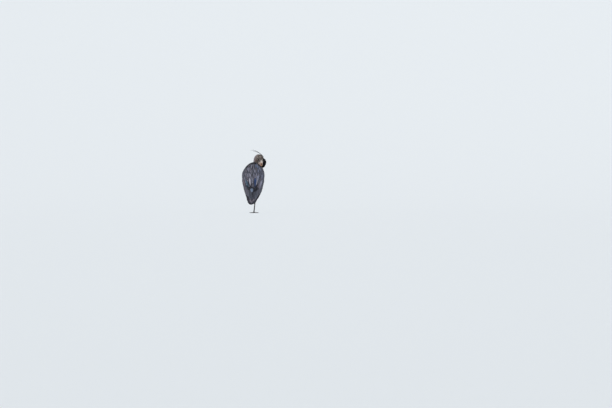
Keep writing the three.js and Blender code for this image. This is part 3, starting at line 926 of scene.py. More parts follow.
def neck_colours(places, normals):
    """Brown-grey behind, lilac outside, rusty by the fold and darker near it as painted shade of the
    crease, white in front with rows of streaks.
    """
    z = places[:, 2] / MM
    inwards = unit((ARCH - places) * (1, 0, 1)) * 0.45 + (0, 0.9, 0)
    fore_way = unit(blend([0.25, 1.0, 0.0], inwards, ease(480, 520, z)))
    fore = ease(0.3, 0.62, dot(normals, fore_way) + 0.12 * ripple(places, 12 * MM))
    across = np.abs(dot(normals, unit(np.cross(fore_way, [0.0, 0.0, 1.0]) + [0, 1e-6, 0])))
    tint = blend(NECK_GREY, NECK_DARK, np.clip(0.4 + 0.9 * ripple(places, 9 * MM), 0, 1))
    outer = ease(0.1, 0.75, -normals[:, 0] + 0.2 * ripple(places, 15 * MM))
    tint = blend(tint, NECK_LILAC * 1.15, outer * 0.85)
    rust = np.hypot(places[:, 0] - ARCH[0] + 28 * MM, places[:, 2] - ARCH[2] - 26 * MM) / MM
    tint = blend(tint, RUFOUS, 0.55 * ease(15, 5, rust + 4 * ripple(places, 6 * MM)))
    # Painted shadow in the crease where the neck folds under the head.
    from_fold_shadow = np.hypot(places[:, 0] - ARCH[0] + 18 * MM, places[:, 2] - ARCH[2] - 22 * MM) / MM
    tint = blend(tint, NECK_DARK * 0.45, 0.8 * ease(32, 9, from_fold_shadow + 8 * ripple(places, 7 * MM)))
    back, up, _ = head_mm(places)
    throat = ease(-38, -31, up + 2 * ripple(places, 5 * MM)) * ease(58, 42, back) * ease(2, 10, back)
    fore = np.maximum(fore, throat)
    fore = np.maximum(fore, 0.85 * ease(478, 446, z + 10 * ripple(places, 16 * MM)))
    tint = blend(tint, blend(WHITE, PEACH, 0.55 * throat), fore)
    edge = blend(NECK_EDGE, WHITE, fore)
    marks = ripple(places * (1, 1, 0.45), 4 * MM) > -0.1
    streak = ease(0.0, 0.3, dot(normals, fore_way)) * hill(0.34, 0.26, across) * marks
    return blend(tint, BLACK, streak), blend(edge, BLACK_EDGE, streak * 0.8)


def body_colours(places, normals, node):
    """The colour and edge colour of the coat anywhere on the trunk, wings, thighs and neck."""
    x, y, z = places.T / MM
    side = np.abs(x - MIDDLE_X / MM)
    wing = starts(node, "wing", "primaries", "tail")
    wing &= (y < wing_edge(z) - 3) | (node == "tail")
    front = ease(0.0, 0.3, normals[:, 1]) * ~wing * ease(500, 470, z)
    front = front * ease(66, 60, side + 4 * ripple(places, 22 * MM))
    patch = ripple(places, 32 * MM)
    tint = blend(SLATE, DEEP_SLATE, np.clip(0.35 + 0.5 * patch, 0, 1))
    edge = blend(PALE_SLATE, SLATE, np.clip(0.3 + 0.4 * patch, 0, 1))
    tint, edge = blend(tint, WHITE, front), blend(edge, WHITE, front)
    band = front * hill(54, 17, side + 4 * patch) * ease(180, 235, z)
    bend = wing * ease(24, 66, y + 6 * patch) * ease(385, 435, z)
    top = wing * ease(30, 60, side) * ease(478, 502, z) * 0.7
    dark = np.clip(band + bend + top, 0, 1)
    tint, edge = blend(tint, BLACK, dark), blend(edge, BLACK_EDGE, dark)
    # Painted shadow: a dark band across the wings below the ends of the scapulars.
    shade = wing * hill(248, 52, z + 10 * patch) * ease(74, 56, side)
    tint, edge = blend(tint, SHADOW_SLATE, shade), blend(edge, FLIGHT, shade)
    flight = starts(node, "primaries")
    tint, edge = blend(tint, FLIGHT, flight), blend(edge, FLIGHT_EDGE, flight)
    thigh = 0.85 * starts(node, "thigh")
    tint, edge = blend(tint, SILVER, thigh), blend(edge, WHITE, thigh)
    neck_tint, neck_edge = neck_colours(places, normals)
    neck = starts(node, "neck")
    return blend(tint, neck_tint, neck), blend(edge, neck_edge, neck)


def bare_part(places):
    """1 on the bare lores and round the eyes, 0 where feathers grow."""
    back, up, right = head_mm(places)
    high = 5.6 - 0.15 * back + 0.7 * ripple(places, 2.5 * MM)
    lore = ease(0.6, -0.6, np.abs(up - 0.5) - high) * ease(24, 21, back) * ease(4, 6, np.abs(right))
    lids = [ease(8.4, 7.9, np.linalg.norm(places - eye, axis=1) / MM) for eye in EYES.values()]
    return np.maximum(lore, np.maximum(*lids))


# ---- the skin as one piece ----


def build_skin(torso, head, legs):
    """Torso, head and legs as one object of three materials: down, bare skin and leg scales."""
    down, lores, scales = range(3)
    tint, edge = body_colours(torso.co, torso.frame[:, :3], torso.node)
    head_tint, head_edge = head_colours(head.co)
    bare = bare_part(head.co)
    # The bare lores are mottled between two skin colours, and darker towards the bill's base as painted
    # shade.
    mottle_and_painted_shade = 0.12 + 0.4 * ripple(head.co, 2.5 * MM) + ease(16, 5, head_mm(head.co)[0])
    head_tint = blend(head_tint, blend(LORE, BARE_SKIN, np.clip(mottle_and_painted_shade, 0, 1)), bare)
    on_lores = bare[head.faces].mean(1) > 0.5
    # The torso's skin shows only in the gaps of the coat, so its colours are darkened there as painted
    # shade.
    parts = [(torso, tint * 0.6, edge, down), (head, head_tint, head_edge, np.where(on_lores, lores, down))]
    parts += [(leg, LEG, LEG_PALE, scales) for leg in legs.values()]
    start, faces, tints, edges, which = 0, [], [], [], []
    for part, part_tint, part_edge, numbers in parts:
        faces.append(part.faces + start)
        start += len(part.co)
        tints.append(np.broadcast_to(part_tint, part.co.shape))
        edges.append(np.broadcast_to(part_edge, part.co.shape))
        which.append(np.broadcast_to(numbers, len(part.faces)))
    obj = object_from("skin", np.concatenate([part[0].co for part in parts]), np.concatenate(faces))
    put_values(obj.data, {"tint": np.concatenate(tints), "edge": np.concatenate(edges)})
    for material in (skin_material(), bare_material(), leg_material()):
        obj.data.materials.append(material)
    obj.data.polygons.foreach_set("material_index", np.concatenate(which).astype(np.int32))
    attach(obj, "root")
    flesh = ["trunk", "wing_left", "wing_right", "neck_lower", "neck_middle", "neck_upper", "head"]
    for side in SIDES:
        flesh.append(f"thigh_{side}")
        flesh += leg_nodes(side)
    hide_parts(*flesh)


# ---- eyes, lids, bill and claws ----


def ring_faces(rings, around, closed=False):
    """Quads between rings of points, and from the last ring back to the first if closed."""
    i, j = np.meshgrid(np.arange(rings if closed else rings - 1), np.arange(around), indexing="ij")
    i *= around
    n, k = (i + around) % (rings * around), (j + 1) % around
    return np.stack([i + j, i + k, n + k, n + j], 2).reshape(-1, 4)


def build_eye(name, side, material):
    """An eyeball, bulging a little at the front, with its poles on the line of gaze."""
    centre = EYES[name]
    gaze = unit(HEAD_RIGHT * side + FORWARD * 0.22)
    across = unit(FORWARD - gaze * dot(FORWARD, gaze))
    over = np.cross(gaze, across) * side
    off = np.radians(np.concatenate([np.linspace(0.01, 60, 60), np.linspace(63, 179.99, 24)]))
    spin = np.linspace(0, 2 * math.pi, 64, endpoint=False)
    a, t = np.meshgrid(off, spin, indexing="ij")
    bulge = 1 + 0.045 * ease(math.radians(44), 0, a)
    outwards = across * np.cos(t)[..., None] + over * np.sin(t)[..., None]
    way = gaze * np.cos(a)[..., None] + outwards * np.sin(a)[..., None]
    co = centre + way * (EYE_RADIUS * bulge)[..., None]
    faces = ring_faces(len(off), len(spin))
    obj = object_from(f"eyeball_{name}", co.reshape(-1, 3), faces if side < 0 else faces[:, ::-1])
    quill = np.stack([np.degrees(a), t, np.zeros_like(a)], 2).reshape(-1, 3)
    put_values(obj.data, {"quill": quill})
    finish_piece(obj, material, "eye", f"eye_{name}")


def build_lids(name, side, material):
    """A creased rim of bare skin round an eye, lower over the top than below."""
    centre = EYES[name]
    axis = unit(HEAD_RIGHT * side + FORWARD * 0.12)
    across = unit(FORWARD - axis * dot(FORWARD, axis))
    over = unit(CROWN - axis * dot(CROWN, axis) - across * dot(CROWN, across))
    t = np.linspace(0, 2 * math.pi, 96, endpoint=False)
    opening = 47 + 5 * np.cos(t) ** 2 - 3.5 * np.clip(np.sin(t), 0, 1)
    share = np.array([0.0, 0.03, 0.12, 0.26, 0.42, 0.6, 0.8, 1.0, 0.6, 0.2, 0.02])
    height = np.array([0.12, 0.42, 0.72, 0.74, 0.52, 0.5, 0.1, -0.8, -1.2, -1.0, -0.25])
    angle = np.radians(opening[None] + (88 - opening[None]) * share[:, None])
    crease = 0.05 * np.sin(26 * t)[None] * ease(0.1, 0.4, share)[:, None]
    radius = EYE_RADIUS + (height[:, None] + crease) * MM
    ring = across * np.cos(t)[:, None] + over * np.sin(t)[:, None]
    outwards = ring[None] * (np.sin(angle) * radius)[..., None]
    co = centre + axis * (np.cos(angle) * radius)[..., None] + outwards
    faces = ring_faces(len(share), len(t), closed=True)
    obj = object_from(f"eyelids_{name}", co.reshape(-1, 3), faces if side < 0 else faces[:, ::-1])
    rim = np.repeat(ease(0.2, 0.04, share), len(t))
    put_values(obj.data, {"tint": blend(blend(LID, BARE_SKIN, 0.3), BLACK, rim)})
    finish_piece(obj, material, "leg_scales")


def curve(x, keys, values):
    """Smooth values between keys, through each of them."""
    slope = np.gradient(values, keys)
    i = np.clip(np.searchsorted(keys, x) - 1, 0, len(keys) - 2)
    wide = keys[i + 1] - keys[i]
    t = np.clip((x - keys[i]) / wide, 0, 1)
    a, b = values[i], values[i + 1]
    rise = (t**3 - 2 * t**2 + t) * slope[i] + (t**3 - t**2) * slope[i + 1]
    return a * (2 * t**3 - 3 * t**2 + 1) + b * (3 * t**2 - 2 * t**3) + rise * wide


def bill_table(node):
    """How tall and how wide half of the bill is along its length, read from the CAD node's own rings."""
    back, up, right = head_mm(node_arrays([node])[0])
    order = np.argsort(-back)
    rings = np.split(order, np.flatnonzero(np.diff(-back[order]) > 1) + 1)
    keys = np.array([-back[ring].mean() for ring in rings])
    tall = np.array([np.abs(up[ring]).max() for ring in rings])
    half = np.array([np.abs(right[ring]).max() for ring in rings])
    return keys, tall, half


HORN_ROOT = 9.0  # how far, in mm, the horn runs on under the feathers
ARCH_STEPS = 33  # points round the curved side of half a bill
FLAT_STEPS = 7  # and over its flat side


def build_bill(upper, material):
    """Half of the bill, with a groove and a nostril slit on each side of the upper one."""
    node = "bill_upper" if upper else "bill_lower"
    keys, tall, half = bill_table(node)
    hidden = np.linspace(keys[0] - HORN_ROOT, keys[0], 6)[:-1]
    reach = np.concatenate([hidden, np.linspace(keys[0], keys[-1], 110)])
    height, width = curve(reach, keys, tall), curve(reach, keys, half)
    height *= np.where(reach < keys[0], 1 - 0.02 * (keys[0] - reach), 1)
    angle = np.linspace(0, math.pi, ARCH_STEPS)
    r, a = np.meshgrid(reach, angle, indexing="ij")
    h, w = height[:, None], width[:, None]
    slope = np.abs(np.abs(a - math.pi / 2) - 0.85)
    dent = 0.75 * hill(0, 0.2, slope) * ease(2, 10, r) * ease(72, 50, r) if upper else 0.0
    slit = 0.8 * hill(0, 0.13, slope) * hill(17, 6.5, r) if upper else 0.0
    size = 1 - (dent + slit) / h
    out = w * np.sign(np.cos(a)) * np.abs(np.cos(a)) ** 0.85 * size
    rise = 0.12 + (h - 0.12) * np.sin(a) ** 1.15 * size
    flat = np.linspace(1, -1, FLAT_STEPS + 2)[1:-1]
    r = np.concatenate([r, r[:, :FLAT_STEPS]], 1)
    out = np.concatenate([out, w * -flat[None]], 1)
    rise = np.concatenate([rise, np.full((len(reach), FLAT_STEPS), 0.12)], 1)
    sign = 1 if upper else -1
    ends = [(-r[0].mean(), sign * rise[0].mean(), 0), (-r[-1].mean() - 0.6, sign * rise[-1].mean(), 0)]
    co = np.concatenate([on_head(-r, sign * rise, out).reshape(-1, 3), [on_head(*end) for end in ends]])
    rings, around = r.shape
    faces = ring_faces(rings, around)
    j = np.arange(around)
    k = (j + 1) % around
    last_ring, first_end = (rings - 1) * around, rings * around
    root_fan = np.stack([k, j, j * 0 + first_end], 1)
    tip_fan = np.stack([j + last_ring, k + last_ring, j * 0 + first_end + 1], 1)
    faces = np.concatenate([faces[:, [0, 1, 2]], faces[:, [0, 2, 3]], root_fan, tip_fan])
    obj = object_from("horn_" + node, co, faces if upper else faces[:, ::-1])
    along = np.append(r.ravel(), [r.min(), r.max()])
    lift = np.append((rise / h).ravel(), [0.5, 0.5])
    round_about = np.append(np.tile(np.concatenate([angle, flat + 5]), rings), [0, 0])
    colour = blend(HORN, HORN_PALE, hill(60, 45, along))
    colour = blend(colour, HORN * (0.9, 0.95, 0.6), ease(20, -5, along))
    if upper:
        dusky = ease(0.1, 0.55, lift + 0.1 * np.sin(along / 9)) * ease(105, 40, along)
        colour = blend(colour, DUSKY_HORN, 0.75 * dusky)
        colour = blend(colour, CULMEN, 0.8 * ease(0.72, 0.98, lift) * ease(110, 60, along))
        # Painted shade inside the nostril slits.
        painted_nostril_shade = np.zeros((rings, around))
        painted_nostril_shade[:, :ARCH_STEPS] = slit * 1.2
        colour = blend(colour, CULMEN * 0.25, np.clip(np.append(painted_nostril_shade.ravel(), [0, 0]), 0, 1))
    colour = blend(colour, CULMEN, 0.55 * ease(96, 112, along))
    quill = np.stack([along, round_about, along * 0], 1)
    put_values(obj.data, {"tint": colour, "edge": colour * 0.78, "quill": quill})
    finish_piece(obj, material, "bill_horn", node)


def build_claws(side, material):
    """The four claws of a foot as one piece, each run a little way on into its toe."""
    parts = [f"claw_{toe}_{side}" for toe in TOES]
    start, co, faces, quill = 0, [], [], []
    for number, name in enumerate(parts):
        verts, tris, _ = node_arrays([name])
        toe = centre_of(name.replace("claw", "toe"))
        point = verts[np.argmax(np.linalg.norm(verts - toe, axis=1))]
        claw = voxelled(point + (verts - point) * 1.12, tris, 0.35 * MM)
        claw.co = claw.smooth(claw.co, 5)
        claw.co[:, 2] = np.maximum(claw.co[:, 2], 0)
        axis = np.linalg.svd(verts - verts.mean(0), full_matrices=False)[2]
        p = (claw.co - verts.mean(0)) @ axis.T / MM
        quill.append(np.stack([p[:, 0], np.arctan2(p[:, 1], p[:, 2]), p[:, 0] * 0 + number], 1))
        co.append(claw.co)
        faces.append(claw.faces + start)
        start += len(claw.co)
    obj = object_from(f"claws_{side}", np.concatenate(co), np.concatenate(faces))
    tint = np.broadcast_to(CLAW, (start, 3))
    put_values(obj.data, {"tint": tint, "edge": tint * 2.4, "quill": np.concatenate(quill)})
    finish_piece(obj, material, "claw_horn", *parts)


# ---- the coat, tract by tract ----


def body_root(height, angle):
    """Places on the torso by height and by degrees from the middle of the back, positive on the right."""
    height, angle = np.broadcast_arrays(np.asarray(height, float), np.radians(np.asarray(angle, float)))
    middle_y = (-25 + (height - 300) * 0.6) * MM
    middle = np.stack([np.full(height.shape, MIDDLE_X), middle_y, height * MM], -1)
    way = np.stack([np.sin(angle), -np.cos(angle), np.zeros_like(angle)], -1)
    return torso.ray(middle, way)


def behind_edge(roots):
    """Which places on the torso lie behind the front edge of the folded wing."""
    return roots[:, 1] / MM < wing_edge(roots[:, 2] / MM) - 3


def coat_head():
    """Short tufts over the face, longer and darker ones over the crown."""
    coat = Coat("coat_head", unwrap_head)
    middles = face_middles(head)
    back = head_mm(middles)[0]
    grown = (bare_part(middles) < 0.5) & (back > -3) & (back < 96)
    places, _ = scatter(head, grown, lambda p: 1.1 + 0.3 * ease(40, 85, head_mm(p)[0]))
    back, up, _ = head_mm(places)
    tint, edge = head_colours(places)
    dark = tint.mean(1) < 0.1
    length = 3.4 + 2.6 * ease(5, 40, back) + 3.5 * ease(45, 85, back)
    length += dark * (2 + 8 * ease(5, 60, back))
    width = 1.15 + 0.4 * ease(10, 60, back) + dark * 0.2
    high = 0.9 + 0.5 * ease(10, 50, back) + dark * (0.8 + 4.4 * ease(5, 50, back) * ease(8, 30, up))
    coat.grow(head, places, length, width, -0.1, high, tint, edge, "tuft", camber=0.22, turn=0.16,
              style=0.25)
    coat.build(plume_fine, "white_plumage")


def coat_crest():
    """The loose feathers at the back of the crown."""
    coat = Coat("coat_crest", unwrap_head)
    back, up, _ = head_mm(face_middles(head))
    nape = (up > 3 - 0.2 * (back - 60)) & (back > 52) & (back < 92) & (up > -2)
    places, _ = scatter(head, nape, 2.6)
    length = 15 + 24 * ease(55, 88, head_mm(places)[0]) * chance.random(len(places))
    coat.grow(head, places, length, width=2.8, low=0.3, high=3.5, tint=BLACK, edge=BLACK_EDGE, kind="lance",
              cling=0.45, turn=0.12, follow=0.8, style=0.5)
    coat.build(plume_glossy, "black_plumes")


def coat_torso(name, chosen, spacing, length, width, high, kind="body", **more):
    """A coat over chosen faces of the torso. A size may be a function of places."""
    coat = Coat(name, unwrap_neck if "neck" in name else unwrap_body)
    places, corner = scatter(torso, chosen, spacing)
    tint, edge = body_colours(places, torso.frame[corner, :3], torso.node[corner])
    own = spread(len(places), 0.12)[:, None]
    length, width, high = (value(places) if callable(value) else value for value in (length, width, high))
    coat.grow(torso, places, length, width, 0.2, high, tint * own, edge * own, kind, **more)
    return coat


def plume_line(node):
    """The middle line of a slim CAD node: the mean of its points in 16 slices from left to right."""
    verts = node_arrays([node])[0]
    keys = verts[:, 0]
    edges = np.linspace(keys.min(), keys.max(), 17)
    slices = [verts[(keys >= a - 1e-9) & (keys <= b + 1e-9)] for a, b in zip(edges[:-1], edges[1:])]
    return np.array([part.mean(0) for part in slices if len(part)])


def wing_edge(z_mm):
    """How far forward the folded wings reach at a height, in millimetres, read from the CAD wings."""
    verts = node_arrays(["wing_left", "wing_right", "primaries_left", "primaries_right"])[0] / MM
    levels = np.arange(80, 520, 10.0)
    front = [verts[np.abs(verts[:, 2] - level) < 9, 1].max(initial=-130) for level in levels]
    return np.interp(z_mm, levels, front)


def is_node(*names):
    """Which faces of the torso came from CAD nodes whose names start with one of these."""
    return starts(torso.node[torso.faces[:, 0]], *names)


def build_small_coats():
    """The short feathers of the neck, breast, mantle and thighs, and the wings' coverts."""
    middles = face_middles(torso)
    facing = torso.frame[torso.faces[:, 0], 1]
    side = np.abs(middles[:, 0] - MIDDLE_X) / MM
    z = middles[:, 2] / MM
    neck, thigh, wing, trunk = (is_node(name) for name in ("neck", "thigh", "wing", "trunk"))
    ahead = middles[:, 1] / MM > wing_edge(z) - 3
    front = (trunk | (wing & ahead)) & (facing > -0.1)
    mantle = (trunk & ~front) | (wing & (side < 62) & (z > 330))

    def grading(least, growth, high, low):
        """A size that grows from least as the places go down from one height to another."""
        return lambda p: least + growth * ease(high, low, p[:, 2] / MM)

    coat = coat_torso("coat_neck", neck, spacing=grading(1.9, 1.0, 500, 440),
                      length=grading(10, 12, 510, 440), width=grading(2.4, 1.8, 510, 440), high=3.4,
                      camber=0.2, turn=0.14, style=0.35)
    coat.build(plume_soft, "grey_plumage")
    coat = coat_torso("coat_breast", front, spacing=3.6, length=25, width=5.5, high=5.0, kind="lance",
                      turn=0.12, style=0.35)
    coat.build(plume_soft, "white_plumage")
    coat = coat_torso("coat_mantle", mantle, spacing=4.2, length=30, width=8, high=4.6, turn=0.12,
                      style=0.4)
    coat.build(plume, "grey_plumage")
    coat = coat_torso("coat_thighs", thigh, spacing=2.8, length=grading(14, 8, 236, 204), width=4,
                      high=3.0, turn=0.15, style=0.35)
    coat.build(plume_soft, "grey_plumage")
    for name in SIDES:
        coverts = is_node(f"wing_{name}") & ~mantle & ~front & (z > 285)
        coat = coat_torso(f"coat_wing_{name}", coverts, spacing=grading(4.4, 1.8, 490, 300),
                          length=grading(17, 20, 490, 300), width=grading(8, 5, 490, 300), high=4.6,
                          kind="covert", turn=0.06, style=0.5, camber=0.13, across=BROAD)
        coat.build(plume, "grey_plumage")


def row(coat, sign, angles, heights, length, width, low, high, tint, edge, kind="quill", jitter=2.0,
        **more):
    """A row of vanes on one side of the back, by angle from its middle and by height."""
    count = len(angles)
    angles = np.asarray(angles) + chance.normal(size=count) * jitter * 0.5
    heights = np.asarray(heights) + chance.normal(size=count) * jitter
    roots = body_root(heights, sign * angles)
    good = behind_edge(roots)
    length, width, low, high = (np.broadcast_to(v, (count,))[good] for v in (length, width, low, high))
    own = spread(count, more.pop("vary", 0.1))[:, None]
    tint, edge = (tint * own)[good], (edge * own)[good]
    heading = more.pop("toward", None)
    if heading is not None:
        heading = unit(heading - roots[good])
    coat.grow(torso, roots[good], length, width, low, high, tint, edge, kind, heading=heading,
              across=BROAD, **more)


def build_flight(name, sign):
    """The covert rows, secondaries, tertials and primaries of one folded wing."""
    coat = Coat(f"flight_{name}", unwrap_body)
    tip = WING_TIPS[name] * (0, 1, 1) + np.array([MIDDLE_X - 12 * MM + sign * 12 * MM, -4 * MM, -50 * MM])
    firm = {"turn": 0.015, "camber": 0.1, "style": 1.0}
    # Primaries: two sets, each ending in steps at the wing tip.
    order = np.arange(9)
    for top, step, lowest, lift in ((262, 11.5, 96, 0.2), (206, 8, 90, 0.8)):
        heights = top - step * order
        length = 1.03 * (heights - lowest - 3 * order[::-1])
        row(coat, sign, 104 - 9 * order, heights, length, width=21, low=lift + 0.1 * order,
            high=lift + 1 + 0.12 * order, tint=FLIGHT, edge=FLIGHT_EDGE, kind="primary", toward=tip,
            jitter=0.6, cling=0.7, uneven=0.02, **firm)
    # Secondaries, pinker in drifts, mostly on the left.
    order = np.arange(16)
    drift = 0.5 + 0.5 * np.sin(1.7 * order + sign)
    lower = blend(LOWER_SLATE, PINK_SLATE * 0.8, (0.7 if sign < 0 else 0.25) * drift)
    row(coat, sign, 112 - 6.5 * order, 298 - 1.2 * order, length=122 + 2.8 * order, width=20, low=0.9,
        high=2.8, tint=lower, edge=LOWER_EDGE, jitter=0.8, vary=0.28, **firm)
    # Tertials, the innermost one dark.
    order = np.arange(6)
    lower = blend(LOWER_SLATE, DEEP_SLATE, 0.8 * (order == 0))
    row(coat, sign, 8 + 7.5 * order, 258 + 8 * order, length=158, width=24, low=1.4, high=3.4,
        tint=lower, edge=LOWER_EDGE, jitter=1.5, vary=0.25, **firm)
    # Covert rows, longer where they pass under the scapulars, and darkened there as painted shadow.
    order = np.arange(17)
    inner = ease(62, 44, 116 - 6.6 * order)
    tint, edge = blend(SLATE, SHADOW_SLATE, inner), blend(PALE_SLATE, FLIGHT, inner)
    row(coat, sign, 116 - 6.6 * order, 318 - 2.0 * order, length=58 + 26 * inner, width=18, low=1.0,
        high=3.8, tint=tint, edge=edge, jitter=2.5, **firm)
    row(coat, sign, 119 - 6.6 * order, 342 - 2.0 * order, length=56 + 18 * inner, width=17, low=1.2,
        high=4.2, tint=tint, edge=edge, jitter=1.2, **firm)
    order = np.arange(21)
    row(coat, sign, 117 - 5.4 * order, 366 - 2.0 * order, length=46, width=15, low=1.4, high=4.6,
        tint=SLATE, edge=PALE_SLATE, jitter=1.5, **firm)
    # Marginal coverts, along the front edge.
    level = np.arange(474, 214, -5.5)
    out_x, out_y = np.full(len(level), MIDDLE_X + sign * 120 * MM), (wing_edge(level) - 5) * MM
    roots = torso.nearest(np.stack([out_x, out_y, level * MM], 1))[0]
    along = unit(np.gradient(roots, axis=0) + (0, -0.3 * MM, 0))
    dark = ease(375, 425, level)
    size = ease(470, 300, level)
    tint, edge = blend(SLATE, BLACK, dark), blend(PALE_SLATE, BLACK_EDGE, dark)
    coat.grow(torso, roots, length=20 + 22 * size, width=9 + 5 * size, low=2.0, high=5.0, tint=tint,
              edge=edge, kind="covert", heading=along, across=BROAD, turn=0.04, style=0.6)
    coat.build(plume_flight, "flight_feathers", f"primaries_{name}")


def cool(tint, places):
    """The greys turn bluer towards the right shoulder."""
    x, _, z = places.T / MM
    share = ease(-5, 70, x + 34 * ripple(places, 10 * MM)) * ease(320, 420, z)
    bluer = BLUE_SLATE * (tint.mean(-1, keepdims=True) / BLUE_SLATE.mean())
    return blend(tint, bluer, 0.55 * share)


def clumps(coat, sign, angles, heights, length, reach, strands, tint, edge, low, high, width, **more):
    """Plumes in clumps: each springs from a patch that reaches some degrees to each side, and narrows."""
    angles, heights, length, low, high = (
        np.repeat(np.broadcast_to(np.asarray(value, float), np.shape(angles)), strands)
        for value in (angles, heights, length, low, high)
    )
    count = len(angles)
    aside = chance.uniform(-1, 1, count)
    up = chance.normal(size=count) * 7
    roots = body_root(heights + up, sign * (angles + aside * reach))
    tips = body_root(heights - 0.93 * length, sign * (angles * 0.94 + aside * reach * 0.35))
    good = behind_edge(roots) & ~np.isnan(tips[:, 0])
    own = spread(count, 0.26)[:, None]
    shape = (count // strands, 3)
    tint, edge = (np.repeat(np.broadcast_to(c, shape), strands, 0) * own for c in (tint, edge))
    tint, edge = cool(tint, roots), cool(edge, roots)
    lengths = (length + up) * (1 - 0.2 * aside**2) * spread(count, 0.16)
    coat.grow(torso, roots[good], lengths[good], width, low[good], high[good], tint[good], edge[good],
              "lance", heading=unit(tips - roots)[good], across=BROAD, turn=0.03, camber=0.24, **more)


# Tiers of drifts over the back: height, how many drifts on each side, and their length.
TIERS = [(332, 12, 58), (349, 13, 62), (366, 13, 62), (383, 13, 60), (400, 13, 58)]
TIERS += [(417, 12, 56), (433, 11, 52), (448, 10, 48), (462, 9, 44), (476, 8, 38)]
# The greys of the drifts.
SHADES = [DEEP_SLATE * 0.6, DEEP_SLATE, SLATE * 0.75, PALE_SLATE * 0.9, PINK_SLATE * 0.85]
SHADES += [PALE_SLATE * 0.7, DEEP_SLATE * 0.9]
# The lowest scapulars hang in tongues, and a few lie at the top of the mantle: side, angle from the
# middle, top, length, half width in degrees, and shade.
# The near-black tongues are painted shade in the clefts between the drifts and under the lowest plumes,
# partly the dark feathers beneath.
TONGUES = [
    (-1, 67, 344, 96, 4.0, DEEP_SLATE * 0.8),
    (-1, 60, 342, 78, 3.6, BLUE_GREY * 0.8),
    (-1, 51, 348, 102, 7.0, TEAL_SLATE),
    (-1, 41, 350, 88, 4.6, DEEP_SLATE * 0.8),
    (-1, 34, 352, 80, 4.0, SLATE * 0.7),
    (-1, 28, 352, 84, 3.5, SILVER),
    (-1, 17, 372, 92, 7.0, SLATE),
    (-1, 7, 366, 78, 6.0, PALE_SLATE * 0.8),
    (-1, 52, 288, 58, 7.0, SHADOW_SLATE * 0.6),
    (1, 28, 290, 66, 9.0, SHADOW_SLATE * 0.6),
    (1, 2, 360, 84, 4.0, SLATE),
    (1, 7, 352, 84, 4.0, SHADOW_SLATE),
    (1, 13, 356, 94, 6.0, NAVY_SLATE * 0.8),
    (1, 23, 354, 98, 8.0, NAVY_SLATE),
    (1, 36, 348, 80, 2.6, SILVER * 0.8),
    (1, 43, 344, 94, 4.4, SHADOW_SLATE * 0.6),
    (1, 50, 354, 92, 4.0, SLATE),
    (-1, 24, 296, 44, 8.0, SHADOW_SLATE * 0.6),
    (1, 40, 474, 44, 6.0, BLUE_SLATE * 1.15),
    (1, 24, 476, 38, 5.0, BLUE_SLATE * 0.75),
    (1, 14, 480, 40, 4.0, DEEP_SLATE * 0.8),
    (1, 54, 350, 112, 6.0, PINK_SLATE),
    (1, 66, 344, 112, 7.0, PALE_SLATE),
    (-1, 72, 346, 100, 7.0, PINK_SLATE),
]


def build_scapulars(name, sign):
    """Long loose plumes over the back and the inner wing, in drifts of several greys."""
    coat = Coat(f"scapulars_{name}", unwrap_body)
    shades = np.array(SHADES)
    for tier, (height, count, length) in enumerate(TIERS):
        angles = np.linspace(4 + 3 * (tier % 2), 88 - 4 * tier, count) + chance.normal(size=count) * 1.5
        pick = chance.integers(0, len(shades), count)
        tint = shades[pick] * spread(count, 0.42)[:, None]
        tint = blend(tint, SLATE, 0.6 * ease(45, 72, angles))
        edge = blend(tint, SILVER, 0.08 + 0.36 * chance.random(count))
        heights = height + 8 * chance.normal(size=count)
        lengths = length * spread(count, 0.22) * (1 - 0.15 * ease(30, 80, angles))
        high = 4.6 + 3.2 * chance.random(count)
        clumps(coat, sign, angles, heights, lengths, reach=3.4, strands=13, tint=tint, edge=edge, low=2.2,
               high=high, width=4.0, style=0.8)
    for side, angle, top, length, reach, tint in TONGUES:
        if side == sign:
            edge = blend(tint, SILVER, 0.12)
            strands = int(8 + 3 * reach)
            clumps(coat, sign, np.array([angle]), top, length, reach, strands, tint, edge, low=3.4,
                   high=8.6, width=4.6, style=0.8)
    coat.build(plume, "grey_plumage")


